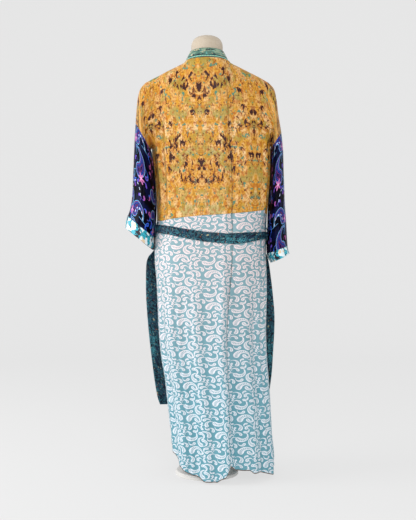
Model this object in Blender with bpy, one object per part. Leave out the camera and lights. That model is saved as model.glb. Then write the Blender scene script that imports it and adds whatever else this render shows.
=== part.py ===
"""Long kimono robe of printed silk, hanging open on a linen-covered dress form.

Metres, +Z up. The wearer's front faces -Y and the wearer's left is +X. The origin is the centre
of the stand's flat underside. All cloth walls come from one grid of outer points: rings round the
body, rings along each sleeve, and the neckband. Each piece takes its own patch of that grid, is cut
back by half the seam gap, and gets its thickness along the grid's normals.
"""

import math

import bpy
import numpy as np

CLOTH = 0.0018
SEAM_GAP = 0.0003
LAY_GAP = 0.0003
REST_GAP = 0.0006
BELT_THICKNESS = 0.0030
COLLAR_WIDTH = 0.037
COLLAR_LEAN = 0.44
SQUARENESS = 0.80

NECK_RADIUS = 0.070
NECK_SIDE_Z = 1.268
NECK_BACK_RISE = 0.004
ARMHOLE_X = 0.165
SHOULDER_CURVE = 0.6
RISE_PACE = 0.8

STAND_RADIUS = 0.097
BOSS_TOP = 0.038
POLE_RADIUS = 0.0125
FORM_BOTTOM = 0.545

# Height, half widths to the wearer's left and right of the form's axis, depths behind and before it
BODY_SECTIONS = np.array([
    # z      left   right  back   front
    (0.005, 0.109, 0.208, 0.138, 0.128),
    (0.070, 0.110, 0.206, 0.137, 0.128),
    (0.114, 0.113, 0.201, 0.135, 0.128),
    (0.164, 0.116, 0.198, 0.133, 0.127),
    (0.226, 0.123, 0.195, 0.131, 0.126),
    (0.291, 0.130, 0.190, 0.129, 0.125),
    (0.356, 0.141, 0.185, 0.127, 0.124),
    (0.443, 0.149, 0.182, 0.125, 0.123),
    (0.536, 0.153, 0.184, 0.123, 0.122),
    (0.598, 0.156, 0.184, 0.122, 0.121),
    (0.660, 0.161, 0.182, 0.121, 0.120),
    (0.722, 0.160, 0.183, 0.118, 0.118),
    (0.778, 0.155, 0.184, 0.113, 0.116),
    (0.846, 0.156, 0.190, 0.109, 0.115),
    (0.924, 0.162, 0.1955, 0.107, 0.117),
    (1.001, 0.171, 0.196, 0.105, 0.119),
])

# Heights of the lines round the body, by turn: 0 is the back, + goes towards the wearer's left
HEM = np.array([
    # turn   z
    (-180, 0.036), (-140, 0.034), (-110, 0.040), (-90, 0.046), (-72, 0.030), (-64, 0.013),
    (-40, 0.030), (-29, 0.029), (-24, 0.039), (-9, 0.040), (-4.5, 0.055), (-1, 0.021),
    (4, 0.0065), (17, 0.0065), (22, 0.017), (35, 0.026), (46, 0.043), (58, 0.057),
    (65, 0.075), (77, 0.098), (86, 0.138), (100, 0.145), (120, 0.110), (140, 0.070), (180, 0.040),
])
PANEL_SEAM = np.array([(-180, 0.785), (-120, 0.772), (-62, 0.811), (60, 0.778), (120, 0.788), (180, 0.785)])
BELT_TOP = np.array([
    (-180, 0.728), (-90, 0.746), (-62, 0.7455), (-26, 0.741), (-12, 0.738), (0, 0.742),
    (14, 0.749), (40, 0.761), (70, 0.768), (90, 0.769), (180, 0.728),
])
BELT_FOOT = np.array([
    (-180, 0.690), (-90, 0.724), (-62, 0.724), (-36, 0.713), (-22, 0.708), (-8, 0.709),
    (4, 0.715), (20, 0.725), (40, 0.735), (70, 0.744), (90, 0.746), (180, 0.690),
])
UNDERARM = np.array([(-180, 1.000), (-90, 1.022), (0, 1.001), (90, 1.010), (180, 1.000)])

# Shoulder ridge, from the side of the neck to the sleeve cap
RIDGE = np.array([
    # x      z
    (0.070, 1.268), (0.080, 1.2615), (0.118, 1.2430), (0.160, 1.2235), (0.165, 1.2210),
])

# Folds of the body: turn and height where each starts and ends, half width in degrees, and depth,
# which is a ridge above zero and a trough below it. One that ends under the hem runs out through it.
FOLD_FADE = 0.22
FOLDS = np.array([
    # turn  z      turn  z      width  depth
    (-8, 1.12, -10, 0.70, 8, 0.0035),
    (-14, 1.12, -16, 0.70, 7, -0.0035),
    (-9, 0.74, 2, -0.30, 9, 0.0075),
    (-17, 0.74, -7, -0.30, 8, -0.0080),
    (36, 1.14, 42, 0.74, 11, 0.0050),
    (53, 1.12, 56, 0.76, 10, -0.0085),
    (72, 1.06, 72, 0.78, 9, 0.0030),
    (-60, 1.10, -61, 0.76, 7, 0.0045),
    (-73, 1.06, -72, 0.78, 8, -0.0070),
    (45, 0.62, 40, -0.30, 10, 0.0085),
    (27, 0.66, 25, -0.30, 9, -0.0075),
    (62, 0.58, 58, -0.30, 9, -0.0060),
    (12, 0.70, 12, -0.30, 7, 0.0045),
    (-32, 0.68, -30, -0.30, 9, 0.0045),
    (-46, 0.66, -46, -0.30, 9, -0.0065),
    (-68, 0.70, -62, -0.30, 9, 0.0060),
    (-86, 0.66, -82, -0.30, 10, -0.0070),
    (84, 0.66, 84, -0.30, 10, -0.0040),
    (104, 0.90, 106, -0.30, 10, 0.0060),
    (122, 0.96, 124, -0.30, 9, -0.0070),
    (138, 0.92, 142, -0.30, 9, 0.0055),
    (-104, 0.94, -104, -0.30, 10, 0.0065),
    (-122, 0.96, -124, -0.30, 9, -0.0070),
    (-140, 0.90, -142, -0.30, 9, 0.0055),
])

# Sleeve rings from the cap to the opening: outer and inner points, and half depth
SLEEVES = {
    "left": np.array([
        # outer x  z      inner x  z      depth
        (0.1900, 1.2085, 0.1750, 1.003, 0.063),
        (0.2055, 1.1900, 0.1770, 0.999, 0.067),
        (0.2135, 1.1630, 0.1780, 0.998, 0.071),
        (0.2175, 1.1250, 0.1785, 0.998, 0.074),
        (0.2205, 1.0820, 0.1785, 0.997, 0.076),
        (0.2235, 1.0350, 0.1740, 0.974, 0.077),
        (0.2260, 0.9800, 0.1675, 0.935, 0.077),
        (0.2285, 0.9200, 0.1628, 0.885, 0.077),
        (0.2310, 0.8620, 0.1602, 0.825, 0.078),
        (0.2375, 0.8180, 0.1618, 0.765, 0.079),
        (0.2440, 0.7980, 0.1635, 0.727, 0.080),
        (0.2515, 0.7620, 0.1650, 0.690, 0.082),
    ]),
    "right": np.array([
        (0.1900, 1.2085, 0.1985, 1.013, 0.063),
        (0.2060, 1.1900, 0.2005, 1.009, 0.067),
        (0.2135, 1.1600, 0.2015, 1.007, 0.070),
        (0.2200, 1.1080, 0.2020, 1.006, 0.073),
        (0.2295, 1.0500, 0.2022, 1.004, 0.075),
        (0.2350, 0.9950, 0.2010, 0.965, 0.076),
        (0.2365, 0.9400, 0.1988, 0.912, 0.076),
        (0.2385, 0.8900, 0.1950, 0.860, 0.077),
        (0.2405, 0.8350, 0.1905, 0.805, 0.078),
        (0.2445, 0.7800, 0.1890, 0.750, 0.079),
        (0.2490, 0.7040, 0.1878, 0.680, 0.080),
        (0.2545, 0.6800, 0.2000, 0.652, 0.082),
    ]),
}
SEAM_RING = 5
CUFF_RING = 11
UNDERARM_ANGLE = 130
# Creases along a sleeve: angle round it, width in degrees and depth; they start after CREASE_RING
SLEEVE_CREASES = ((62, 17, 0.006), (300, 18, 0.005))
CREASE_RING = 3

# Belt ends below their fold: height, the outer edge's place across (towards that side) and in depth,
# and the turn where the inner edge lies against the skirt
BELT_ENDS = {
    "left": np.array([
        # z     outer x  y       inner turn
        (0.700, 0.1640, -0.048, 120),
        (0.684, 0.1740, -0.053, 120),
        (0.668, 0.1870, -0.060, 121),
        (0.640, 0.1935, -0.066, 122),
        (0.560, 0.1946, -0.073, 123),
        (0.494, 0.1914, -0.076, 124),
        (0.418, 0.1850, -0.078, 124),
        (0.360, 0.1786, -0.080, 125),
        (0.284, 0.1690, -0.082, 126),
        (0.226, 0.1595, -0.084, 127),
        (0.198, 0.1510, -0.086, 128),
    ]),
    "right": np.array([
        (0.690, 0.1850, -0.050, 120),
        (0.655, 0.1955, -0.060, 121),
        (0.590, 0.2050, -0.066, 122),
        (0.542, 0.2105, -0.070, 123),
        (0.490, 0.2150, -0.074, 124),
        (0.437, 0.2150, -0.076, 126),
        (0.379, 0.2120, -0.078, 128),
        (0.303, 0.2074, -0.081, 132),
        (0.250, 0.2010, -0.083, 135),
        (0.200, 0.1940, -0.085, 138),
    ]),
}
BELT_END_COLUMNS = (2, 1, 0, -2)
BELT_CLEAR = 0.0030
BELT_BOW = (0.0009, 0.0029)
LOOP_WIDTH = 0.006
LOOP_THICKNESS = 0.0015
LOOP_CLEAR = 0.0006

# Dress form above its shoulder ridge and below it: height, half width, depths behind and before
NECK_SECTIONS = np.array([
    # z       half   back   front
    (1.3540, 0.020, 0.020, 0.020),
    (1.3515, 0.034, 0.034, 0.034),
    (1.3440, 0.0450, 0.0450, 0.0450),
    (1.3320, 0.0485, 0.0485, 0.0480),
    (1.3000, 0.0488, 0.0498, 0.0480),
    (1.2850, 0.0510, 0.0515, 0.0490),
    (1.2700, 0.0570, 0.0540, 0.0500),
])
SHOULDER_DEPTHS = np.array([(0.041, 0.040), (0.042, 0.041), (0.047, 0.046)])
FORM_SECTIONS = np.array([
    (1.2050, 0.1690, 0.063, 0.061),
    (1.1800, 0.1710, 0.074, 0.073),
    (1.1400, 0.1690, 0.084, 0.086),
    (1.0950, 0.1630, 0.090, 0.096),
    (1.0500, 0.1560, 0.093, 0.105),
    (1.0200, 0.1520, 0.091, 0.106),
    (0.9700, 0.1430, 0.086, 0.101),
    (0.9200, 0.1270, 0.079, 0.090),
    (0.8700, 0.1180, 0.077, 0.085),
    (0.8200, 0.1240, 0.084, 0.090),
    (0.7600, 0.1370, 0.096, 0.096),
    (0.7000, 0.1440, 0.103, 0.099),
    (0.6400, 0.1440, 0.105, 0.099),
    (0.5800, 0.1400, 0.104, 0.097),
    (0.5450, 0.1360, 0.100, 0.094),
])
FORM_SIDES = 32

BAND_COLUMNS, SHOULDER_COLUMNS, ARM_COLUMNS, NECK_COLUMNS = 2, 10, 8, 8
BAND_TURN, FRONT_TURN, ARM_TURN, NECK_TURN = 172.4, 160.0, 60.0, 15.7
SIDE_SEAM_COLUMN = 6
ROWS = {"skirt": 12, "belt": 2, "gap": 1, "chest": 5, "shoulder": 7}
SLEEVE_BACK_SEAM = ROWS["shoulder"] + ARM_COLUMNS - SIDE_SEAM_COLUMN

LINEN = (0.66, 0.57, 0.43)
WHITE_LACQUER = (0.80, 0.79, 0.77)
STEEL = (0.62, 0.62, 0.62)
GOLD_SILK = (0.56, 0.34, 0.09)
TEAL_SILK = (0.20, 0.36, 0.40)
NAVY_SILK = (0.012, 0.014, 0.045)
BAND_SILK = (0.10, 0.30, 0.26)
BELT_SILK = (0.010, 0.035, 0.045)
CUFF_SILK = (0.06, 0.40, 0.45)


def clear_scene():
    for item in list(bpy.data.objects):
        bpy.data.objects.remove(item, do_unlink=True)


def ease(value):
    value = np.clip(value, 0.0, 1.0)
    return value * value * (3 - 2 * value)


def curve_through(at, points, values):
    """Smooth curve through the table's values, read at the places given."""
    slopes = np.gradient(values, points)
    at = np.clip(at, points[0], points[-1])
    start = np.clip(np.searchsorted(points, at, side="right") - 1, 0, len(points) - 2)
    step = points[start + 1] - points[start]
    s = (at - points[start]) / step
    low, high = values[start], values[start + 1]
    return (
        (2 * s**3 - 3 * s**2 + 1) * low
        + (s**3 - 2 * s**2 + s) * step * slopes[start]
        + (3 * s**2 - 2 * s**3) * high
        + (s**3 - s**2) * step * slopes[start + 1]
    )


def line_height(line, turn):
    return float(np.interp(turn, line[:, 0], line[:, 1]))


def fold_depth(turn, z):
    """How far the cloth stands out of its plain ring there, in metres."""
    total = 0.0
    for turn_a, top, turn_b, foot, width, depth in FOLDS:
        along = (top - z) / (top - foot)
        if not 0 < along < 1:
            continue
        across = abs(turn - (turn_a + (turn_b - turn_a) * along)) / width
        if across < 1:
            fade = ease(along / FOLD_FADE) * ease((1 - along) / FOLD_FADE)
            total += depth * fade * 0.5 * (1 + math.cos(math.pi * across))
    return total


def body_point(turn, z):
    """Outer surface of the robe's body below the underarm."""
    left, right, back, front = (
        float(curve_through(z, BODY_SECTIONS[:, 0], BODY_SECTIONS[:, k])) for k in range(1, 5)
    )
    sine, cosine = math.sin(math.radians(turn)), math.cos(math.radians(turn))
    across = math.copysign(abs(sine) ** SQUARENESS, sine)
    along = math.copysign(abs(cosine) ** SQUARENESS, cosine)
    fold = fold_depth(turn, z)
    return np.array([
        (left - right) / 2 + (left + right) / 2 * across + fold * sine,
        (back if along > 0 else front) * along + fold * cosine,
        z,
    ])


def spread(start, end, count):
    return list(np.linspace(start, end, count + 1))


def column_turns():
    """Turn of each column, from the left band's free edge round the back to the right band's."""
    half = (
        spread(BAND_TURN, FRONT_TURN, BAND_COLUMNS)[:-1]
        + spread(FRONT_TURN, 180 - ARM_TURN, SHOULDER_COLUMNS)[:-1]
        + spread(180 - ARM_TURN, ARM_TURN, ARM_COLUMNS)[:-1]
        + spread(ARM_TURN, NECK_TURN, SHOULDER_COLUMNS)[:-1]
    )
    middle = spread(NECK_TURN, -NECK_TURN, NECK_COLUMNS)
    return half + middle + [-turn for turn in reversed(half)]


TURNS = column_turns()
LEFT_SEAM = BAND_COLUMNS
LEFT_FRONT_ARM = LEFT_SEAM + SHOULDER_COLUMNS
LEFT_BACK_ARM = LEFT_FRONT_ARM + ARM_COLUMNS
NECK_LEFT = LEFT_BACK_ARM + SHOULDER_COLUMNS
NECK_RIGHT = NECK_LEFT + NECK_COLUMNS
RIGHT_BACK_ARM = NECK_RIGHT + SHOULDER_COLUMNS
RIGHT_FRONT_ARM = RIGHT_BACK_ARM + ARM_COLUMNS
RIGHT_SEAM = RIGHT_FRONT_ARM + SHOULDER_COLUMNS
LAST_COLUMN = RIGHT_SEAM + BAND_COLUMNS
LEFT_SIDE_SEAM = LEFT_FRONT_ARM + SIDE_SEAM_COLUMN
RIGHT_SIDE_SEAM = RIGHT_FRONT_ARM - SIDE_SEAM_COLUMN

BELT_FOOT_ROW = ROWS["skirt"]
BELT_TOP_ROW = BELT_FOOT_ROW + ROWS["belt"]
PANEL_ROW = BELT_TOP_ROW + ROWS["gap"]
UNDERARM_ROW = PANEL_ROW + ROWS["chest"]
TOP_ROW = UNDERARM_ROW + ROWS["shoulder"]


def row_height(row, turn):
    """Height of a row at a turn, up to the underarm: evenly between the lines round the body."""
    lines = (
        (0, HEM), (BELT_FOOT_ROW, BELT_FOOT), (BELT_TOP_ROW, BELT_TOP),
        (PANEL_ROW, PANEL_SEAM), (UNDERARM_ROW, UNDERARM),
    )
    for (low, low_line), (high, high_line) in zip(lines, lines[1:]):
        if row <= high:
            share = (row - low) / (high - low)
            return (1 - share) * line_height(low_line, turn) + share * line_height(high_line, turn)
    raise ValueError(row)


def neck_point(angle):
    """Seam of the neckband round the back of the neck: 90 is the left side, -90 the right."""
    sine, cosine = math.sin(math.radians(angle)), math.cos(math.radians(angle))
    return np.array([NECK_RADIUS * sine, NECK_RADIUS * cosine, NECK_SIDE_Z + NECK_BACK_RISE * cosine])


def ridge_point(x):
    return np.array([x, 0.0, np.interp(abs(x), RIDGE[:, 0], RIDGE[:, 1])])


def top_point(column):
    """Where a column ends: on the shoulder ridge, or on the seam round the back of the neck."""
    if column > NECK_RIGHT:
        point = top_point(NECK_LEFT + NECK_RIGHT - column)
        return point * (-1, 1, 1)
    if column >= NECK_LEFT:
        return neck_point(90 - 180 * (column - NECK_LEFT) / NECK_COLUMNS)
    if column >= LEFT_BACK_ARM:
        share = (column - LEFT_BACK_ARM) / SHOULDER_COLUMNS
    else:
        share = (LEFT_FRONT_ARM - column) / SHOULDER_COLUMNS
    return ridge_point(ARMHOLE_X + (NECK_RADIUS - ARMHOLE_X) * share)


def collar_rise(angle):
    """From the neck seam to the collar's free edge: up, and in towards the neck."""
    sine, cosine = math.sin(math.radians(angle)), math.cos(math.radians(angle))
    rise = math.sqrt(1 - COLLAR_LEAN**2)
    return COLLAR_WIDTH * np.array([-COLLAR_LEAN * sine, -COLLAR_LEAN * cosine, rise])


def shoulder_point(row, column):
    """Body above the underarm: from the ring there, up and over to the column's top."""
    share = (row - UNDERARM_ROW) / ROWS["shoulder"]
    angle = math.radians(90 * share**RISE_PACE)
    base, top = body_grid_point(UNDERARM_ROW, column), top_point(column)
    near = math.cos(angle) ** SHOULDER_CURVE
    return np.array([
        base[0] + (top[0] - base[0]) * share,
        top[1] + (base[1] - top[1]) * near,
        base[2] + (top[2] - base[2]) * math.sin(angle),
    ])


def band_point(row, column):
    """Front band above the underarm: it leaves the chest flat and ends upright beside the neck."""
    left = column < LEFT_SEAM
    seam, edge = (LEFT_SEAM, 0) if left else (RIGHT_SEAM, LAST_COLUMN)
    across = abs(column - seam) / BAND_COLUMNS
    share = ease((row - UNDERARM_ROW) / ROWS["shoulder"])
    flat = body_grid_point(UNDERARM_ROW, edge) - body_grid_point(UNDERARM_ROW, seam)
    upright = collar_rise(90 if left else -90)
    way = (1 - share) * flat + share * upright
    width = (1 - share) * np.linalg.norm(flat) + share * COLLAR_WIDTH
    return shoulder_point(row, seam) + across * width * way / np.linalg.norm(way)


def body_grid_point(row, column):
    if row <= UNDERARM_ROW:
        return body_point(TURNS[column], row_height(row, TURNS[column]))
    if column < LEFT_SEAM or column > RIGHT_SEAM:
        return band_point(row, column)
    return shoulder_point(row, column)


def sleeve_root(side):
    """Grid places round the armhole: from the ridge down the back, under the arm and up the front."""
    back, front = (LEFT_BACK_ARM, LEFT_FRONT_ARM) if side > 0 else (RIGHT_BACK_ARM, RIGHT_FRONT_ARM)
    step = -1 if side > 0 else 1
    down = [(row, back) for row in range(TOP_ROW, UNDERARM_ROW, -1)]
    under = [(UNDERARM_ROW, column) for column in range(back, front, step)]
    return down + under + [(row, front) for row in range(UNDERARM_ROW, TOP_ROW)]


def sleeve_turns():
    """Angle round the sleeve of each place in its root: 0 is outside, 180 under the arm."""
    rows = ROWS["shoulder"]
    down = spread(0, UNDERARM_ANGLE, rows)[:-1]
    under = spread(UNDERARM_ANGLE, 360 - UNDERARM_ANGLE, ARM_COLUMNS)[:-1]
    return down + under + spread(360 - UNDERARM_ANGLE, 360, rows)[:-1]


def sleeve_ring(side, ring):
    """One ring of a sleeve, a flattened oval between its outer and inner points."""
    out_x, out_z, in_x, in_z, depth = SLEEVES["left" if side > 0 else "right"][ring - 1]
    outer, inner = np.array([out_x, 0, out_z]), np.array([in_x, 0, in_z])
    centre, reach = (outer + inner) / 2, (outer - inner) / 2
    points = []
    for angle in sleeve_turns():
        sine, cosine = math.sin(math.radians(angle)), math.cos(math.radians(angle))
        crease = sum(deep * math.exp(-(((angle - at) / wide) ** 2)) for at, wide, deep in SLEEVE_CREASES)
        crease *= ease((ring - CREASE_RING) / 4)
        point = centre + cosine * reach + np.array([0, sine * (depth - crease), 0])
        points.append(point * (side, 1, 1))
    return points


class ClothGrid:
    """All outer points of the cloth, each met only once, and each piece's triangles of them."""

    def __init__(self):
        self.points, self.ids, self.pieces = [], {}, {}

    def point(self, place):
        key = tuple(np.round(place, 6) + 0.0)
        if key not in self.ids:
            self.ids[key] = len(self.points)
            self.points.append(np.array(place, float))
        return self.ids[key]

    def patch(self, piece, rows, flipped=False):
        """Adds the cells between rows of ids. Each cell is cut along the same diagonal."""
        triangles = self.pieces.setdefault(piece, [])
        for low, high in zip(rows, rows[1:]):
            for k in range(len(low) - 1):
                a, b, c, d = low[k], low[k + 1], high[k + 1], high[k]
                for triangle in ((a, b, c), (a, c, d)):
                    if len(set(triangle)) == 3:
                        triangles.append(triangle[::-1] if flipped else triangle)

    def normals(self):
        points = np.array(self.points)
        corners = np.array([t for triangles in self.pieces.values() for t in triangles])
        a, b, c = (points[corners[:, k]] for k in range(3))
        faces = np.cross(b - a, c - a)
        total = np.zeros_like(points)
        for k in range(3):
            np.add.at(total, corners[:, k], faces)
        return points, total / np.linalg.norm(total, axis=1)[:, None]


def cut_back(points, normals, triangles, amount):
    """Shift of each point that draws a piece's edge back into the piece, along its surface."""
    edges = {}
    for triangle in triangles:
        for k in range(3):
            edges[(triangle[k], triangle[(k + 1) % 3])] = triangle[(k + 2) % 3]
    inward = {}
    for a, b in edges:
        if (b, a) not in edges:
            side = np.cross((normals[a] + normals[b]) / 2, points[b] - points[a])
            side /= np.linalg.norm(side)
            inward.setdefault(a, []).append(side)
            inward.setdefault(b, []).append(side)
    shift = np.zeros_like(points)
    for corner, sides in inward.items():
        total = sum(sides)
        length = np.linalg.norm(total) / len(sides)
        shift[corner] = amount * total / np.linalg.norm(total) / max(length, 0.5)
    rim = [(a, b) for a, b in edges if (b, a) not in edges]
    return shift, rim


def wall(name, points, normals, triangles, low, high, colour, roughness=0.45):
    """Closed wall over a patch of triangles, from low to high along the normals."""
    shift, rim = cut_back(points, normals, triangles, SEAM_GAP / 2)
    used = sorted({corner for triangle in triangles for corner in triangle})
    place = {corner: k for k, corner in enumerate(used)}
    count = len(used)
    outer = points[used] + shift[used] + normals[used] * high
    inner = points[used] + shift[used] + normals[used] * low
    faces = []
    for a, b, c in triangles:
        faces.append((place[a], place[b], place[c]))
        faces.append((place[c] + count, place[b] + count, place[a] + count))
    for a, b in rim:
        near, far = place[a], place[b]
        if a < b:
            faces += [(far, near, far + count), (near, near + count, far + count)]
        else:
            faces += [(far, near, near + count), (far, near + count, far + count)]
    return add_mesh(name, np.vstack([outer, inner]), faces, colour, roughness)


def add_mesh(name, points, faces, colour, roughness=0.45, metallic=0.0):
    mesh = bpy.data.meshes.new(name)
    mesh.from_pydata([tuple(point) for point in points], [], faces)
    mesh.validate()
    mesh.shade_smooth()
    mesh.set_sharp_from_angle(angle=math.radians(50))
    item = bpy.data.objects.new(name, mesh)
    bpy.context.scene.collection.objects.link(item)
    material = bpy.data.materials.new(name)
    material.use_nodes = True
    shader = material.node_tree.nodes["Principled BSDF"]
    shader.inputs["Base Color"].default_value = (*colour, 1.0)
    shader.inputs["Roughness"].default_value = roughness
    shader.inputs["Metallic"].default_value = metallic
    mesh.materials.append(material)
    return item


def body_piece(row, column):
    """Name of the piece that a cell of the body belongs to, by its lower left corner."""
    if column < LEFT_SEAM:
        return "front_band_left"
    if column >= RIGHT_SEAM:
        return "front_band_right"
    level = "lower" if row < PANEL_ROW else "upper"
    if column < LEFT_SIDE_SEAM:
        return f"{level}_front_left"
    if column >= RIGHT_SIDE_SEAM:
        return f"{level}_front_right"
    return f"{level}_back"


def lay_out_cloth():
    """The whole grid of outer points, and where the belt and the turned cuff lie on it."""
    grid = ClothGrid()
    rows = []
    for row in range(TOP_ROW + 1):
        rows.append([
            grid.point(body_grid_point(row, column)) if has_point(row, column) else None
            for column in range(LAST_COLUMN + 1)
        ])
    for row in range(TOP_ROW):
        for column in range(LAST_COLUMN):
            cell = [rows[row][column : column + 2], rows[row + 1][column : column + 2]]
            if None not in cell[0] and None not in cell[1]:
                grid.patch(body_piece(row, column), cell)
    add_collar(grid)
    cuff = {side: add_sleeve(grid, rows, side) for side in (1, -1)}
    return grid, rows, cuff


def has_point(row, column):
    if row <= UNDERARM_ROW:
        return True
    in_left = LEFT_FRONT_ARM < column < LEFT_BACK_ARM
    return not (in_left or RIGHT_BACK_ARM < column < RIGHT_FRONT_ARM)


def add_collar(grid):
    levels = []
    for level in range(BAND_COLUMNS + 1):
        angles = [90 - 180 * k / NECK_COLUMNS for k in range(NECK_COLUMNS + 1)]
        levels.append([
            grid.point(neck_point(angle) + collar_rise(angle) * level / BAND_COLUMNS) for angle in angles
        ])
    grid.patch("neckband_back", levels)


def add_sleeve(grid, rows, side):
    """Cap, sleeve and cuff on one side. Returns the rows of ids along the sleeve's last stretch."""
    word = "left" if side > 0 else "right"
    rings = [[rows[row][column] for row, column in sleeve_root(side)]]
    for ring in range(1, len(SLEEVES[word]) + 1):
        rings.append([grid.point(point) for point in sleeve_ring(side, ring)])
    rings = [ring + ring[:1] for ring in rings]
    last = len(rings) - 1
    stop = CUFF_RING if side < 0 else last
    back, front = slice(0, SLEEVE_BACK_SEAM + 1), slice(SLEEVE_BACK_SEAM, None)
    cap = rings[: SEAM_RING + 1]
    grid.patch("upper_back", [ring[back] for ring in cap], side > 0)
    grid.patch(f"upper_front_{word}", [ring[front] for ring in cap], side > 0)
    grid.patch(f"sleeve_{word}", rings[SEAM_RING : stop + 1], side > 0)
    if stop < last:
        grid.patch(f"cuff_{word}", rings[stop:], side > 0)
    return rings[CUFF_RING:]


def laid_patch(rows, flipped=False):
    """Triangles over rows of the grid, kept out of its pieces, for what lies on them."""
    own = ClothGrid()
    own.patch("laid", rows, flipped)
    return own.pieces["laid"]


def make_robe():
    grid, rows, cuff = lay_out_cloth()
    points, normals = grid.normals()
    colours = {"upper": GOLD_SILK, "lower": TEAL_SILK, "sleeve": NAVY_SILK, "cuff": CUFF_SILK}
    for name, triangles in grid.pieces.items():
        colour = colours.get(name.split("_")[0], BAND_SILK)
        wall(name, points, normals, triangles, -CLOTH, 0.0, colour)
    turned_up = laid_patch(cuff[1], True)
    wall("cuff_left", points, normals, turned_up, LAY_GAP, LAY_GAP + CLOTH, CUFF_SILK)
    belt_rows = rows[BELT_FOOT_ROW : BELT_TOP_ROW + 1]
    span = slice(LEFT_FRONT_ARM + 1, RIGHT_FRONT_ARM)
    belt = laid_patch([row[span] for row in belt_rows])
    wall("belt_back", points, normals, belt, LAY_GAP, LAY_GAP + BELT_THICKNESS, BELT_SILK)
    for side in (1, -1):
        make_belt_end(side, rows, points, normals)
        make_belt_loop(side, rows, points, normals)


def ribbon(name, rows, thickness, colour, flipped=False):
    """Closed strip over rows of outer points, as thick as given behind them."""
    grid = ClothGrid()
    grid.patch("strip", [[grid.point(point) for point in row] for row in rows], flipped)
    points, normals = grid.normals()
    wall(name, points, normals, grid.pieces["strip"], -thickness, 0.0, colour)


def make_belt_end(side, grid_rows, points, normals):
    """Free end of the belt: folded over the belt's own end on the side, then down beside the skirt."""
    word = "left" if side > 0 else "right"
    lift = 3 * LAY_GAP + 2 * BELT_THICKNESS
    first = LEFT_FRONT_ARM if side > 0 else RIGHT_FRONT_ARM
    columns = [first + side * step for step in BELT_END_COLUMNS]
    rows = []
    for row in range(BELT_TOP_ROW, BELT_FOOT_ROW - 1, -1):
        ids = [grid_rows[row][column] for column in columns]
        rows.append([points[k] + normals[k] * lift for k in ids])
    for z, out_x, out_y, inner_turn in BELT_ENDS[word]:
        inner = body_point(side * inner_turn, z)
        away = inner * (1, 1, 0)
        inner = inner + away / np.linalg.norm(away) * (BELT_THICKNESS + BELT_CLEAR)
        outer = np.array([side * out_x, out_y, z])
        bow = np.array([side * BELT_BOW[0], -BELT_BOW[1], 0])
        rows.append([
            outer + (inner - outer) * share + bow * math.sin(math.pi * share)
            for share in np.linspace(0, 1, len(BELT_END_COLUMNS))
        ])
    ribbon(f"belt_end_{word}", rows, BELT_THICKNESS, BELT_SILK, side < 0)


def make_belt_loop(side, grid_rows, points, normals):
    """Narrow loop sewn into the side seam, which holds the belt up."""
    word = "left" if side > 0 else "right"
    column = LEFT_SIDE_SEAM if side > 0 else RIGHT_SIDE_SEAM
    low = LOOP_CLEAR + LOOP_THICKNESS
    high = low + LAY_GAP + BELT_THICKNESS
    belt = ROWS["belt"]
    path = (
        (-0.28, low), (-0.12, low), (-0.04, high), (0.25 * belt, high), (0.5 * belt, high),
        (0.75 * belt, high), (belt + 0.1, high), (belt + 0.3, low), (belt + 0.6, low),
    )
    rows = []
    for step, lift in path:
        at = BELT_FOOT_ROW + step
        ids = [grid_rows[int(at)][column], grid_rows[int(at) + 1][column]]
        here = points[ids[0]] + (points[ids[1]] - points[ids[0]]) * (at % 1)
        out = normals[ids[0]] + (normals[ids[1]] - normals[ids[0]]) * (at % 1)
        along = np.array([-out[1], out[0], 0]) / np.linalg.norm(out[:2])
        rows.append([here + out * lift + along * LOOP_WIDTH * share for share in (-0.5, 0.5)])
    ribbon(f"belt_loop_{word}", rows, LOOP_THICKNESS, BELT_SILK)


def form_ring(z, half, back, front):
    ring = []
    for k in range(FORM_SIDES):
        turn = 2 * math.pi * k / FORM_SIDES
        sine, cosine = math.sin(turn), math.cos(turn)
        ring.append((half * sine, (back if cosine > 0 else front) * cosine, z))
    return ring


def make_form():
    """Torso and neck in one, its shoulders just under the robe's ridge."""
    slope = math.atan2(RIDGE[0, 1] - RIDGE[-1, 1], RIDGE[-1, 0] - RIDGE[0, 0])
    drop = CLOTH + REST_GAP
    sections = [tuple(section) for section in NECK_SECTIONS]
    for (x, z), (back, front) in zip(RIDGE[1:4], SHOULDER_DEPTHS):
        sections.append((z - drop * math.cos(slope), x - drop * math.sin(slope), back, front))
    sections += [tuple(section) for section in FORM_SECTIONS]
    rings = [form_ring(*section) for section in reversed(sections)]
    points = [point for ring in rings for point in ring]
    faces = [tuple(range(FORM_SIDES)), tuple(reversed(range(len(points) - FORM_SIDES, len(points))))]
    for level in range(len(rings) - 1):
        for k in range(FORM_SIDES):
            low, high = level * FORM_SIDES, (level + 1) * FORM_SIDES
            following = (k + 1) % FORM_SIDES
            faces.append((low + k, high + k, high + following, low + following))
    add_mesh("form_torso", points, faces, LINEN, 0.85)


def turned(name, profile, sides, colour, roughness, metallic):
    """Solid turned about Z from (radius, height) points, bottom first, closed on the axis."""
    points = [(0.0, 0.0, profile[0][1]), (0.0, 0.0, profile[-1][1])]
    for radius, z in profile:
        for k in range(sides):
            angle = 2 * math.pi * k / sides
            points.append((radius * math.cos(angle), radius * math.sin(angle), z))
    faces = []
    for k in range(sides):
        following = (k + 1) % sides
        faces.append((0, 2 + following, 2 + k))
        top = 2 + (len(profile) - 1) * sides
        faces.append((1, top + k, top + following))
        for level in range(len(profile) - 1):
            low, high = 2 + level * sides, 2 + (level + 1) * sides
            faces.append((low + k, low + following, high + following, high + k))
    add_mesh(name, points, faces, colour, roughness, metallic)


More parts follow.
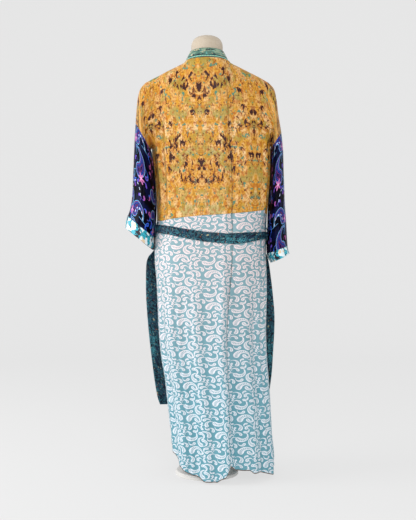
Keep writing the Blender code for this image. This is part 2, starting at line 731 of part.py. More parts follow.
def make_stand():
    base = (
        (STAND_RADIUS - 0.001, 0.0), (STAND_RADIUS, 0.001), (STAND_RADIUS, 0.009),
        (STAND_RADIUS - 0.003, 0.0125), (0.030, 0.016), (0.023, 0.019),
        (0.020, BOSS_TOP - 0.001), (0.018, BOSS_TOP),
    )
    turned("form_base", base, 48, WHITE_LACQUER, 0.35, 0.0)
    pole = ((POLE_RADIUS, BOSS_TOP + LAY_GAP), (POLE_RADIUS, FORM_BOTTOM - LAY_GAP))
    turned("form_pole", pole, 20, STEEL, 0.3, 1.0)


def main():
    clear_scene()
    make_robe()
    make_form()
    make_stand()


main()
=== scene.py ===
import math

import bmesh
import bpy
import numpy as np
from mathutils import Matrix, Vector


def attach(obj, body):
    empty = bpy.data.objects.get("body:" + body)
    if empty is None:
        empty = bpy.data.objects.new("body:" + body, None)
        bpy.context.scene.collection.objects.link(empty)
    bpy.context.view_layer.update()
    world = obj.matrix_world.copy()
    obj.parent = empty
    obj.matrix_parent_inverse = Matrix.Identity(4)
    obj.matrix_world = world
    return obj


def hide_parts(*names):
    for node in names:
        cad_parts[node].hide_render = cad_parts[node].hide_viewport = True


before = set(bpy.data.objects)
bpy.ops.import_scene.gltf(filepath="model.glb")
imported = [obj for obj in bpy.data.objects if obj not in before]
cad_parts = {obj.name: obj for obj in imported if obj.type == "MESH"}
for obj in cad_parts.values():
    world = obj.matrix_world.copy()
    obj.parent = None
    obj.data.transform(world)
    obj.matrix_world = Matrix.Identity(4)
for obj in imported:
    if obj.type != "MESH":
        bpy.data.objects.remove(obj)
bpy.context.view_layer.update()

# the robe's form: the solids' tables, with finer folds and sleeves that lie closer to the body
squareness = 0.80
neckRadius, neckSideZ, neckBackRise = 0.070, 1.268, 0.004
collarWidth, collarLean = 0.037, 0.44
armholeX, shoulderCurve, risePace = 0.165, 0.6, 0.8

# height, half widths to the wearer's left and right, depths behind and before
bodySections = np.array([
    (0.005, 0.109, 0.208, 0.138, 0.128), (0.070, 0.110, 0.206, 0.137, 0.128),
    (0.114, 0.113, 0.201, 0.135, 0.128), (0.164, 0.116, 0.198, 0.133, 0.127),
    (0.226, 0.123, 0.195, 0.131, 0.126), (0.291, 0.130, 0.190, 0.129, 0.125),
    (0.356, 0.141, 0.185, 0.127, 0.124), (0.443, 0.149, 0.182, 0.125, 0.123),
    (0.536, 0.153, 0.184, 0.123, 0.122), (0.598, 0.156, 0.184, 0.122, 0.121),
    (0.660, 0.161, 0.182, 0.121, 0.120), (0.722, 0.160, 0.183, 0.118, 0.118),
    (0.778, 0.155, 0.184, 0.113, 0.116), (0.846, 0.156, 0.190, 0.109, 0.115),
    (0.924, 0.162, 0.1955, 0.107, 0.117), (1.001, 0.171, 0.196, 0.105, 0.119),
])

# heights of the lines round the body by turn: 0 is the back, + goes to the wearer's left
hemLine = np.array([
    (-180, 0.036), (-140, 0.034), (-110, 0.040), (-90, 0.046), (-72, 0.030), (-64, 0.013), (-40, 0.030),
    (-29, 0.029), (-24, 0.039), (-9, 0.040), (-4.5, 0.055), (-1, 0.021), (4, 0.0065), (17, 0.0065),
    (22, 0.017), (35, 0.026), (46, 0.043), (58, 0.057), (65, 0.075), (77, 0.098), (86, 0.138), (100, 0.145),
    (120, 0.110), (140, 0.070), (180, 0.040),
])
panelSeam = np.array([(-180, 0.785), (-120, 0.772), (-62, 0.811), (60, 0.778), (120, 0.788), (180, 0.785)])
beltTop = np.array([
    (-180, 0.728), (-90, 0.746), (-62, 0.7455), (-26, 0.741), (-12, 0.738), (0, 0.742), (14, 0.749),
    (40, 0.761), (70, 0.768), (90, 0.769), (180, 0.728),
])
beltFoot = np.array([
    (-180, 0.690), (-90, 0.724), (-62, 0.724), (-36, 0.713), (-22, 0.708), (-8, 0.709), (4, 0.715),
    (20, 0.725), (40, 0.735), (70, 0.744), (90, 0.746), (180, 0.690),
])
underarmLine = np.array([(-180, 1.000), (-90, 1.022), (0, 1.001), (90, 1.010), (180, 1.000)])
ridgeLine = np.array([(0.070, 1.268), (0.080, 1.2615), (0.118, 1.2430), (0.160, 1.2235), (0.165, 1.2210)])

# big folds: turn and height of each end, half width in degrees, depth, and how sharp it is
foldFade = 0.22
folds = [
    (-8, 1.12, -10, 0.70, 8, 0.0035, 1), (-14, 1.12, -16, 0.70, 7, -0.0035, 1),
    (-9, 0.74, 2, -0.30, 9, 0.0075, 1), (-17, 0.74, -7, -0.30, 8, -0.0080, 1),
    (36, 1.14, 42, 0.74, 11, 0.0050, 1), (53, 1.12, 56, 0.76, 10, -0.0085, 1),
    (72, 1.06, 72, 0.78, 9, 0.0030, 1), (-60, 1.10, -61, 0.76, 7, 0.0045, 1),
    (-73, 1.06, -72, 0.78, 8, -0.0070, 1), (45, 0.62, 40, -0.30, 10, 0.0085, 1),
    (27, 0.66, 25, -0.30, 9, -0.0075, 1), (62, 0.58, 58, -0.30, 9, -0.0060, 1),
    (12, 0.70, 12, -0.30, 7, 0.0045, 1), (-32, 0.68, -30, -0.30, 9, 0.0045, 1),
    (-46, 0.66, -46, -0.30, 9, -0.0065, 1), (-68, 0.70, -62, -0.30, 9, 0.0060, 1),
    (-86, 0.66, -82, -0.30, 10, -0.0070, 1), (84, 0.66, 84, -0.30, 10, -0.0040, 1),
    (104, 0.90, 106, -0.30, 10, 0.0060, 1), (122, 0.96, 124, -0.30, 9, -0.0070, 1),
    (138, 0.92, 142, -0.30, 9, 0.0055, 1), (-104, 0.94, -104, -0.30, 10, 0.0065, 1),
    (-122, 0.96, -124, -0.30, 9, -0.0070, 1), (-140, 0.90, -142, -0.30, 9, 0.0055, 1),
    # finer ones that only the cloth has
    (-11.5, 1.16, -13, 0.70, 3, -0.0014, 2), (-10.0, 0.76, -1.5, -0.30, 4.5, 0.0030, 1),
    (-6.5, 0.70, 0.5, -0.30, 4, 0.0030, 2), (41, 1.10, 45, 0.76, 4, 0.0025, 2),
    (-62, 1.10, -63, 0.76, 3, 0.0030, 2), (-67, 1.08, -66, 0.76, 3, -0.0030, 2),
    (52, 0.70, 47, -0.30, 4, 0.0040, 2), (37, 0.66, 33, -0.30, 4, -0.0030, 2),
    (70, 0.70, 66, -0.20, 4, 0.0030, 2), (76, 0.72, 74, -0.20, 3.5, -0.0030, 2),
    (33, 0.60, 29, -0.30, 3, 0.0020, 2), (18, 0.64, 17, -0.30, 4, -0.0022, 2),
    (5, 0.66, 7, -0.30, 4, -0.0018, 2), (-24, 0.66, -22, -0.30, 5, 0.0018, 2),
    (-38, 0.66, -37, -0.30, 4, -0.0018, 2), (-54, 0.68, -52, -0.30, 4, 0.0026, 2),
    (-75, 0.72, -71, -0.30, 3.5, -0.0030, 2), (-79, 0.72, -76, -0.30, 3.5, 0.0026, 2),
    (95, 0.96, 96, -0.20, 5, 0.0026, 2), (113, 0.96, 115, -0.20, 5, -0.0028, 2),
    (131, 0.92, 133, -0.20, 4, 0.0022, 2), (150, 0.92, 152, -0.20, 5, -0.0022, 2),
    (-96, 0.96, -96, -0.20, 5, 0.0028, 2), (-113, 0.92, -114, -0.20, 5, -0.0026, 2),
    (-131, 0.94, -133, -0.20, 4, 0.0024, 2), (-150, 0.90, -152, -0.20, 5, -0.0024, 2),
    (20, 1.20, 26, 0.95, 6, 0.0015, 1), (74, 1.06, 72, 0.790, 12, -0.0070, 1),
    (-62, 0.735, -66, 0.500, 2.4, -0.0045, 2), (-68, 1.10, -65, 0.770, 3, -0.0035, 2),
    (61, 1.08, 62, 0.790, 4, 0.0030, 2), (-30, 1.19, -34, 0.92, 7, 0.0018, 1),
    (-42, 1.18, -48, 0.84, 6, -0.0018, 1), (12, 1.00, 16, 0.74, 6, -0.0014, 1),
    (25, 1.00, 27, 0.76, 6, 0.0014, 1), (-26, 0.98, -25, 0.76, 5, -0.0012, 1),
]

# sleeve rings from the cap to the opening: outer x, z, inner x, z, and half depth
sleeves = {
    1: np.array([
        (0.1900, 1.2085, 0.1735, 1.003, 0.063), (0.2055, 1.1900, 0.1742, 0.999, 0.067),
        (0.2135, 1.1630, 0.1745, 0.998, 0.071), (0.2175, 1.1250, 0.1740, 0.998, 0.074),
        (0.2205, 1.0820, 0.1720, 0.997, 0.076), (0.2235, 1.0350, 0.1683, 0.974, 0.077),
        (0.2260, 0.9800, 0.1637, 0.935, 0.077), (0.2285, 0.9200, 0.1592, 0.885, 0.077),
        (0.2310, 0.8620, 0.1562, 0.825, 0.078), (0.2375, 0.8180, 0.1583, 0.765, 0.079),
        (0.2440, 0.7980, 0.1618, 0.727, 0.080), (0.2515, 0.7620, 0.1639, 0.690, 0.082),
    ]),
    -1: np.array([
        (0.1900, 1.2085, 0.1975, 1.013, 0.063), (0.2060, 1.1900, 0.1985, 1.009, 0.067),
        (0.2135, 1.1600, 0.1990, 1.007, 0.070), (0.2200, 1.1080, 0.1985, 1.006, 0.073),
        (0.2295, 1.0500, 0.1970, 1.004, 0.075), (0.2350, 0.9950, 0.1966, 0.965, 0.076),
        (0.2365, 0.9400, 0.1955, 0.912, 0.076), (0.2385, 0.8900, 0.1921, 0.860, 0.077),
        (0.2405, 0.8350, 0.1880, 0.805, 0.078), (0.2445, 0.7800, 0.1868, 0.750, 0.079),
        (0.2490, 0.7040, 0.1855, 0.680, 0.080), (0.2545, 0.6800, 0.1975, 0.652, 0.082),
    ]),
}
# creases along a sleeve: angle round it, width in degrees and depth; they start after a ring and are full
# some rings on. the sleeve's first ring goes round the armhole, and these are its angles at the corners
sleeveCreases = [(62, 17, 0.006), (300, 18, 0.005)]
creaseRing, creaseRings = 3, 4
rootTurns = (0, 130, 230, 360)

# columns run from the left band's free edge round the back to the right band's, rows from hem to top
bandColumns, shoulderColumns, armColumns, neckColumns = 2, 10, 8, 8
bandTurn, frontTurn, armTurn, neckTurn = 172.4, 160.0, 60.0, 15.7
halfTurns = [
    *np.linspace(bandTurn, frontTurn, bandColumns + 1)[:-1],
    *np.linspace(frontTurn, 180 - armTurn, shoulderColumns + 1)[:-1],
    *np.linspace(180 - armTurn, armTurn, armColumns + 1)[:-1],
    *np.linspace(armTurn, neckTurn, shoulderColumns + 1)[:-1],
]
turns = np.array([
    *halfTurns, *np.linspace(neckTurn, -neckTurn, neckColumns + 1), *[-turn for turn in halfTurns[::-1]],
])
leftSeam = bandColumns
leftFrontArm = leftSeam + shoulderColumns
leftBackArm = leftFrontArm + armColumns
neckLeft = leftBackArm + shoulderColumns
neckRight = neckLeft + neckColumns
rightBackArm = neckRight + shoulderColumns
rightFrontArm = rightBackArm + armColumns
rightSeam = rightFrontArm + shoulderColumns
lastColumn = rightSeam + bandColumns
sideShift = 6  # columns from the front of the armhole back to the side seam
leftSideSeam, rightSideSeam = leftFrontArm + sideShift, rightFrontArm - sideShift
backColumn = (neckLeft + neckRight) / 2
beltFootRow, beltTopRow, panelRow, underarmRow, topRow = 12, 14, 15, 20, 27
shoulderRows = topRow - underarmRow
rootSteps, seamRing, cuffRing, lastRing = 2 * shoulderRows + armColumns, 5, 11, 12
sideStep = shoulderRows + armColumns - sideShift  # the side seam, in steps round the armhole from the ridge

# grid lines of the meshes to each column, row and ring of the tables
fine = {"columns": 5, "rows": 12, "shoulderRows": 10, "capRings": 7, "sleeveRings": 14, "bandRows": 6}
silkThickness, mergeGap = 0.0018, 0.00005
noSeam, awayFromHem = 1.0, 0.2  # distances that are past any groove or painted shade at a sewn line, and past the hem's print


def ease(value):
    value = np.clip(value, 0.0, 1.0)
    return value * value * (3 - 2 * value)


def curveThrough(at, points, values):
    # smooth curve through a table's values
    slopes = np.gradient(values, points)
    at = np.clip(at, points[0], points[-1])
    start = np.clip(np.searchsorted(points, at, side="right") - 1, 0, len(points) - 2)
    step = points[start + 1] - points[start]
    s = (at - points[start]) / step
    return (
        (2 * s**3 - 3 * s**2 + 1) * values[start] + (s**3 - 2 * s**2 + s) * step * slopes[start]
        + (3 * s**2 - 2 * s**3) * values[start + 1] + (s**3 - s**2) * step * slopes[start + 1]
    )


def lineHeight(line, turn):
    return np.interp(turn, line[:, 0], line[:, 1])


def foldDepth(turn, z):
    total = np.zeros(np.broadcast(turn, z).shape)
    for turnA, top, turnB, foot, width, depth, sharp in folds:
        along = np.clip((top - z) / (top - foot), 0, 1)
        across = np.abs(turn - (turnA + (turnB - turnA) * along)) / width
        shape = (0.5 * (1 + np.cos(math.pi * np.clip(across, 0, 1)))) ** sharp
        total += depth * shape * ease(along / foldFade) * ease((1 - along) / foldFade)
    return total


def sineCosine(degrees):
    return np.sin(np.radians(degrees)), np.cos(np.radians(degrees))


def signedPower(value, power):
    return np.sign(value) * np.abs(value) ** power


def bodyPoint(turn, z):
    left, right, back, front = (curveThrough(z, bodySections[:, 0], bodySections[:, k]) for k in range(1, 5))
    sine, cosine = sineCosine(turn)
    fold = foldDepth(turn, z)
    x = (left - right) / 2 + (left + right) / 2 * signedPower(sine, squareness) + fold * sine
    y = np.where(cosine > 0, back, front) * signedPower(cosine, squareness) + fold * cosine
    return np.stack([x, y, z + 0 * x], -1)


def turnOf(column):
    return np.interp(column, range(len(turns)), turns)


def rowHeight(row, turn):
    height = below = lineHeight(hemLine, turn)
    low = 0
    for high, line in zip(
        (beltFootRow, beltTopRow, panelRow, underarmRow), (beltFoot, beltTop, panelSeam, underarmLine)
    ):
        above = lineHeight(line, turn)
        height = height + (above - below) * np.clip((row - low) / (high - low), 0, 1)
        below, low = above, high
    return height


def ringPoint(column, row):
    turn = turnOf(column)
    return bodyPoint(turn, rowHeight(np.minimum(row, underarmRow), turn))


def neckPoint(angle):
    sine, cosine = sineCosine(angle)
    return np.stack([neckRadius * sine, neckRadius * cosine, neckSideZ + neckBackRise * cosine], -1)


def topPoint(column):
    # a column ends on the shoulder ridge or on the seam round the back of the neck
    side = np.where(column > backColumn, -1.0, 1.0)
    mirrored = np.where(column > backColumn, neckLeft + neckRight - column, column)
    fromArm = np.where(mirrored >= leftBackArm, mirrored - leftBackArm, leftFrontArm - mirrored)
    share = fromArm / shoulderColumns
    x = armholeX + (neckRadius - armholeX) * np.clip(share, 0, 1)
    ridge = np.stack([x * side, 0 * x, np.interp(x, ridgeLine[:, 0], ridgeLine[:, 1])], -1)
    neck = neckPoint(90 - 180 * (column - neckLeft) / neckColumns)
    return np.where((mirrored >= neckLeft)[..., None], neck, ridge)


def collarRise(angle):
    sine, cosine = sineCosine(angle)
    rise = math.sqrt(1 - collarLean**2) + 0 * sine
    return collarWidth * np.stack([-collarLean * sine, -collarLean * cosine, rise], -1)


def shoulderPoint(column, row):
    share = np.clip((row - underarmRow) / shoulderRows, 0, 1)
    angle = np.radians(90 * share**risePace)
    base, top = ringPoint(column, underarmRow + 0 * row), topPoint(column)
    near = np.clip(np.cos(angle), 0, 1) ** shoulderCurve
    x = base[..., 0] + (top[..., 0] - base[..., 0]) * share
    y = top[..., 1] + (base[..., 1] - top[..., 1]) * near
    z = base[..., 2] + (top[..., 2] - base[..., 2]) * np.sin(angle)
    return np.stack([x, y, z], -1)


def bandPoint(column, row):
    # the front band leaves the chest flat and ends upright beside the neck
    left = column < backColumn
    seam = np.where(left, leftSeam, rightSeam)
    edge = np.where(left, 0, lastColumn)
    across = (np.abs(column - seam) / bandColumns)[..., None]
    share = ease((row - underarmRow) / shoulderRows)[..., None]
    flat = ringPoint(edge, underarmRow + 0 * row) - ringPoint(seam, underarmRow + 0 * row)
    upright = collarRise(np.where(left, 90.0, -90.0))
    way = (1 - share) * flat + share * upright
    width = (1 - share) * np.linalg.norm(flat, axis=-1, keepdims=True) + share * collarWidth
    start = shoulderPoint(seam + 0 * column, row)
    return start + across * width * way / np.linalg.norm(way, axis=-1, keepdims=True)


def clothPoint(column, row):
    column, row = (np.array(a, float) for a in np.broadcast_arrays(column, row))
    point = np.where((row > underarmRow)[..., None], shoulderPoint(column, row), ringPoint(column, row))
    onBand = ((column < leftSeam) | (column > rightSeam)) & (row > underarmRow)
    return np.where(onBand[..., None], bandPoint(column, row), point)


def armholePoint(side, step):
    # round the armhole: from the ridge down the back, under the arm and up the front
    back, front = (leftBackArm, leftFrontArm) if side > 0 else (rightBackArm, rightFrontArm)
    column = back + (front - back) * np.clip((step - shoulderRows) / armColumns, 0, 1)
    row = np.where(step < rootSteps / 2, topRow - step, underarmRow + step - shoulderRows - armColumns)
    return clothPoint(column, np.maximum(row, underarmRow))


def sleevePoint(side, ring, step):
    ring, step = (np.array(a, float) for a in np.broadcast_arrays(ring, step))
    places = np.arange(1, lastRing + 1)
    at = np.maximum(ring, 1)
    outX, outZ, inX, inZ, depth = (curveThrough(at, places, sleeves[side][:, k]) for k in range(5))
    angle = np.interp(step, [0, shoulderRows, shoulderRows + armColumns, rootSteps], rootTurns)
    sine, cosine = sineCosine(angle)
    crease = sum(deep * np.exp(-(((angle - place) / wide) ** 2)) for place, wide, deep in sleeveCreases)
    crease = crease * ease((ring - creaseRing) / creaseRings)
    x = (outX + inX) / 2 + cosine * (outX - inX) / 2
    z = (outZ + inZ) / 2 + cosine * (outZ - inZ) / 2
    point = np.stack([x * side, sine * (depth - crease), z], -1)
    root = armholePoint(side, step)
    return np.where((ring < 1)[..., None], root + (point - root) * ring[..., None], point)


def stops(start, end, perUnit):
    return np.linspace(start, end, max(1, round(abs(end - start) * perUnit)) + 1)


def alongRows(points):
    # length from the first point of each row to each next one
    steps = np.linalg.norm(np.diff(points, axis=1), axis=-1)
    return np.concatenate([np.zeros((len(points), 1)), np.cumsum(steps, axis=1)], axis=1)


def alongColumns(points):
    # the same up the columns
    return alongRows(points.swapaxes(0, 1)).T


def addPatch(bm, points, cloth, flipped=False, seam=None):
    # a flat grid from bmesh, whose corners then go to their places; cloth is the place on the flat cloth,
    # and seam the distance from a sewn line
    layer = bm.verts.layers.float_vector.get("cloth") or bm.verts.layers.float_vector.new("cloth")
    sewn = bm.verts.layers.float.get("seam") or bm.verts.layers.float.new("seam")
    rows, columns = points.shape[:2]
    made = bmesh.ops.create_grid(bm, x_segments=columns - 1, y_segments=rows - 1, size=1.0)["verts"]
    for vert in made:
        i, j = round((vert.co.x + 1) / 2 * (columns - 1)), round((vert.co.y + 1) / 2 * (rows - 1))
        vert.co = points[j, i]
        vert[layer] = cloth[j, i]
        vert[sewn] = noSeam if seam is None else seam[j, i]
    if flipped:
        bmesh.ops.reverse_faces(bm, faces=list({face for vert in made for face in vert.link_faces}))


def flatPlace(across, along, third=0.0):
    return np.stack([a + 0.0 * across for a in (across, along, third)], -1)


def soften(bm, verts, rounds):
    verts = [v for v in verts if v.is_valid and not v.is_boundary]
    for _ in range(rounds):
        bmesh.ops.smooth_vert(bm, verts=verts, factor=0.5, use_axis_x=True, use_axis_y=True, use_axis_z=True)


def finishMesh(name, bm, material, merged=True):
    if merged:
        bmesh.ops.remove_doubles(bm, verts=bm.verts, dist=mergeGap)
    mesh = bpy.data.meshes.new(name)
    bm.to_mesh(mesh)
    bm.free()
    mesh.shade_smooth()
    mesh.materials.append(material)
    piece = bpy.data.objects.new(name, mesh)
    bpy.context.scene.collection.objects.link(piece)
    return piece


def dress(piece, nodes, thickness=silkThickness):
    # gives the cloth its thickness inwards, hangs it on the root body and hides the solids it stands in for
    wall = piece.modifiers.new("thickness", "SOLIDIFY")
    wall.thickness, wall.offset = thickness, -1.0
    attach(piece, "root")
    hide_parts(*nodes)


def colour(text, strength=0.80):
    # sRGB hex to linear; the hexes are colours as seen, in light that is brighter than 1 on the cloth
    parts = [int(text[k : k + 2], 16) / 255 for k in (1, 3, 5)]
    linear = [p / 12.92 if p <= 0.04045 else ((p + 0.055) / 1.055) ** 2.4 for p in parts]
    return (*[p * strength for p in linear], 1.0)


def feed(tree, socket, value):
    # a node or a socket is linked, and any other value is set
    if isinstance(value, bpy.types.Node):
        value = next(output for output in value.outputs if output.enabled)
    if isinstance(value, bpy.types.NodeSocket):
        tree.links.new(value, socket)
    else:
        socket.default_value = value


# settings that every node of a kind has here
usualSettings = {"Mix": {"data_type": "RGBA"}, "MapRange": {"interpolation_type": "SMOOTHSTEP"}}


def add(tree, kind, *values, **settings):
    # adds a node: "Math ADD" also names its operation, the values go to its sockets in order, and a setting
    # whose name starts with a capital is a socket
    kind, _, operation = kind.partition(" ")
    made = tree.nodes.new("ShaderNode" + kind)
    if operation:
        made.operation = operation
    settings = {**usualSettings.get(kind, {}), **settings}
    for name, value in settings.items():
        if name[0].islower():
            setattr(made, name, value)
    shown = [socket for socket in made.inputs if socket.enabled]
    named = [(made.inputs[name], value) for name, value in settings.items() if name[0].isupper()]
    for socket, value in [*zip(shown, values), *named]:
        feed(tree, socket, value)
    return made


def newMaterial(name, finish):
    material = bpy.data.materials.new(name)
    material.use_nodes = True
    tree = material.node_tree
    shader = tree.nodes["Principled BSDF"]
    for socket, value in finish.items():
        shader.inputs[socket].default_value = value
    return material, tree, shader


def speckle(tree, place, across, up, scale, shift, low, high, detail=3.0, roughness=0.55):
    # blotches where a noise passes a level: stretch, noise a metre, which noise, where it starts and is full
    moved = add(tree, "VectorMath MULTIPLY_ADD", place, (across, up, 1.0), (0.0, 0.0, shift))
    noise = add(tree, "TexNoise", moved, Scale=scale, Detail=detail, Roughness=roughness)
    return add(tree, "MapRange", noise, low, high)


def speckled(tree, place, paint, rows):
    # lays blotches over the paint: speckle's values, then their strength and colour
    for *kind, strength, shade in rows:
        amount = add(tree, "Math MULTIPLY", speckle(tree, place, *kind), strength)
        paint = add(tree, "Mix", amount, paint, colour(shade))
    return paint


# silk is smooth and takes soft broad highlights; its threads are far finer than a pixel, so the crepe
# grain is drawn about 1 mm wide, and slack creases of a few centimetres lie over it
silkFinish = {
    "Roughness": 0.44, "IOR": 1.5, "Specular IOR Level": 0.40, "Sheen Weight": 0.08, "Sheen Roughness": 0.35,
}
silk = {"grainPerMetre": 900.0, "grainMm": 0.10, "creasesPerMetre": (34.0, 13.0, 1.0), "creaseMm": 1.1}


def silkSurface(tree, shader, place, crease=1.0):
    grain = add(tree, "TexNoise", place, Scale=silk["grainPerMetre"], Detail=1.0)
    fine = add(tree, "Bump", Strength=0.5, Distance=silk["grainMm"] / 1000, Height=grain)
    drawn = add(tree, "VectorMath MULTIPLY", place, silk["creasesPerMetre"])
    slack = add(tree, "TexNoise", drawn, Scale=1.0, Detail=2.5, Roughness=0.5, Distortion=0.4)
    deep = crease * silk["creaseMm"] / 1000
    bump = add(tree, "Bump", Strength=0.6, Distance=deep, Height=slack, Normal=fine)
    feed(tree, shader.inputs["Normal"], bump)


def seamShade(tree, paint):
    # painted shade: a sewn line lies deep, so the colour is darkened within about 2 mm of it
    away = add(tree, "Attribute", attribute_name="seam").outputs["Fac"]
    dark = add(tree, "Mix", 1.0, paint, (0.30, 0.27, 0.25, 1.0), blend_type="MULTIPLY")
    return add(tree, "Mix", add(tree, "MapRange", away, 0.0022, 0.0004), paint, dark)


def clothPlace(tree, across=1.0, up=1.0):
    # the place on the flat cloth
    there = add(tree, "Attribute", attribute_name="cloth").outputs["Vector"]
    return add(tree, "VectorMath MULTIPLY", there, (across, up, 0.0))


def silkCloth(name, printOn, finish, crease=1.0, sewn=False):
    material, tree, shader = newMaterial(name, {**silkFinish, **finish})
    place = clothPlace(tree)
    paint = printOn(tree, place)
    # with sewn set, the colour takes painted shade along the sewn lines
    feed(tree, shader.inputs["Base Color"], seamShade(tree, paint) if sewn else paint)
    silkSurface(tree, shader, place, crease)
    return material


# paisleys: a round head and a tail that bends round and ends in a small ball, in a repeating tile.
# millimetres: place of the arc's centre, turn in degrees, size, which way it bends, how far, how wide.
# each column of tiles drops by a share of the tile's height, the tile's third number; the rim is in metres
tealMotifs = {
    "tile": (130, 190, 0.5), "rim": 0.0022,
    "rows": [
        (118, -8, 9, 56, 1, 2.8, 0.215), (9, 188, 308, 50, -1, 2.5, 0.215),
        (83, 60, 292, 46, 1, 2.4, 0.215), (72, 100, 200, 40, -1, 2.2, 0.22), (91, 91, 74, 34, 1, 2.4, 0.22),
        (97, 193, 340, 34, -1, 2.2, 0.22), (82, 51, 86, 34, 1, 2.5, 0.22), (28, 48, 223, 34, -1, 2.3, 0.22),
        (44, 163, 332, 34, 1, 2.1, 0.22), (56, 182, 23, 27, 1, 2.2, 0.22), (26, 3, 172, 27, -1, 2.0, 0.22),
        (107, 138, 353, 27, 1, 2.4, 0.22), (121, 128, 295, 27, -1, 2.3, 0.22),
        (72, 145, 309, 27, 1, 2.0, 0.22), (67, 9, 102, 27, -1, 2.2, 0.22), (12, 145, 200, 27, 1, 2.3, 0.22),
        (47, 128, 209, 27, -1, 2.1, 0.22), (51, 77, 241, 20, 1, 2.1, 0.22), (29, 36, 52, 20, -1, 2.1, 0.22),
        (89, 170, 176, 20, 1, 2.1, 0.22), (57, 143, 245, 20, 1, 2.1, 0.22),
        (52, 22, 224, 20, -1, 2.1, 0.22), (60, 46, 148, 20, 1, 2.1, 0.22),
        (120, 155, 100, 20, -1, 2.1, 0.22),
    ],
}
navyMotifs = {
    "tile": (130, 180, 0.0), "rim": 0.0032,
    "rows": [
        (76, 106, 289, 54, 1, 2.4, 0.30), (99, 152, 174, 46, -1, 2.3, 0.31),
        (40, 64, 200, 38, 1, 2.2, 0.30), (42, 172, 117, 34, -1, 2.0, 0.31),
    ],
    "small": [
        (117, 91, 281, 20, 1, 1.9, 0.25), (52, 134, 113, 20, -1, 1.9, 0.25),
        (27, 159, 334, 20, 1, 1.9, 0.25), (11, 173, 75, 20, -1, 1.9, 0.25),
        (12, 132, 279, 20, 1, 1.9, 0.25), (72, 43, 230, 20, -1, 1.9, 0.25),
        (20, 144, 100, 20, 1, 1.9, 0.25), (113, 60, 354, 13, 1, 1.8, 0.26),
        (107, 24, 32, 13, -1, 1.8, 0.26), (33, 73, 68, 13, 1, 1.8, 0.26), (1, 39, 59, 13, -1, 1.8, 0.26),
        (122, 175, 34, 13, 1, 1.8, 0.26), (94, 16, 140, 13, -1, 1.8, 0.26), (36, 114, 87, 13, 1, 1.8, 0.26),
        (11, 100, 110, 13, -1, 1.8, 0.26), (78, 57, 281, 13, 1, 1.8, 0.26),
        (69, 100, 187, 13, -1, 1.8, 0.26),
    ],
}
# in parts of a motif's size: radius of the arc, width of the tip, how fast it narrows, radius of the ball,
# seeds along the spine and their width. metres: how soft the print's edge is
paisley = {
    "arc": 0.5, "tip": 0.03, "taper": 0.85, "ball": 0.065, "seeds": 3.8, "seedWide": (0.12, 0.07),
    "edge": 0.0004,
}


def turnedCell(tree, place, centre, turn, tile):
    # place seen from the nearest copy of a motif
    width, height = tile[0] / 1000, tile[1] / 1000
    parts = add(tree, "SeparateXYZ", add(tree, "VectorMath SUBTRACT", place, centre))
    column = add(tree, "Math ROUND", add(tree, "Math DIVIDE", parts.outputs[0], width))
    dropped = add(tree, "Math MULTIPLY_ADD", column, -tile[2] * height, parts.outputs[1])
    flat = add(tree, "CombineXYZ", parts.outputs[0], dropped)
    half = (width / 2, height / 2, 1.0)
    cell = add(tree, "VectorMath WRAP", flat, half, tuple(-v for v in half))
    return add(tree, "VectorRotate", cell, Angle=turn, rotation_type="Z_AXIS")


def paisleyGroup(name, motifs):
    # distance outside one motif's outline in metres, and how much of its print is inked
    group = bpy.data.node_groups.new(name, "ShaderNodeTree")
    for way, kind, labels in (
        ("INPUT", "Vector", ("Place", "Centre", "Scale", "Tail")),
        ("INPUT", "Float", ("Turn", "Bend", "Wide", "Size")), ("OUTPUT", "Float", ("Distance", "Ink")),
    ):
        for label in labels:
            group.interface.new_socket(label, in_out=way, socket_type="NodeSocket" + kind)
    given = group.nodes.new("NodeGroupInput").outputs
    cell = turnedCell(group, given["Place"], given["Centre"], given["Turn"], motifs["tile"])
    local = add(group, "VectorMath MULTIPLY", cell, given["Scale"])
    parts = add(group, "SeparateXYZ", local)
    angle = add(group, "Math ARCTAN2", parts.outputs[1], parts.outputs[0])
    share = add(group, "Math DIVIDE", angle, given["Bend"], use_clamp=True)
    taper = add(group, "Math POWER", add(group, "Math SUBTRACT", 1.0, share), paisley["taper"])
    width = add(group, "Math MULTIPLY_ADD", taper, given["Wide"], paisley["tip"])
    out = add(group, "VectorMath LENGTH", local)
    spine = add(group, "Math ABSOLUTE", add(group, "Math SUBTRACT", out, paisley["arc"]))
    below = add(group, "Math MULTIPLY", parts.outputs[1], -1.0)
    body = add(group, "Math MAXIMUM", add(group, "Math SUBTRACT", spine, width), below)
    toHead = add(group, "VectorMath DISTANCE", local, (paisley["arc"], 0.0, 0.0))
    toTail = add(group, "VectorMath DISTANCE", local, given["Tail"])
    head = add(group, "Math SUBTRACT", toHead, given["Wide"])
    tail = add(group, "Math SUBTRACT", toTail, paisley["ball"])
    outline = add(group, "Math MINIMUM", body, add(group, "Math MINIMUM", head, tail))
    real = add(group, "Math MULTIPLY", outline, given["Size"])
    inside = add(group, "MapRange", real, paisley["edge"], -paisley["edge"])
    inner = add(group, "MapRange", real, -motifs["rim"], -motifs["rim"] - 2 * paisley["edge"])
    beat = add(group, "Math FRACT", add(group, "Math MULTIPLY", angle, paisley["seeds"]))
    middle = add(group, "MapRange", spine, *paisley["seedWide"])
    seed = add(group, "Math MULTIPLY", add(group, "MapRange", beat, 0.60, 0.48), middle)
    shade = add(group, "Math MULTIPLY", inner, add(group, "Math MULTIPLY_ADD", seed, 0.75, 0.15))
    ink = add(group, "Math MULTIPLY", inside, add(group, "Math SUBTRACT", 1.0, shade))
    sink = group.nodes.new("NodeGroupOutput")
    feed(group, sink.inputs["Distance"], real)
    feed(group, sink.inputs["Ink"], ink)
    return group


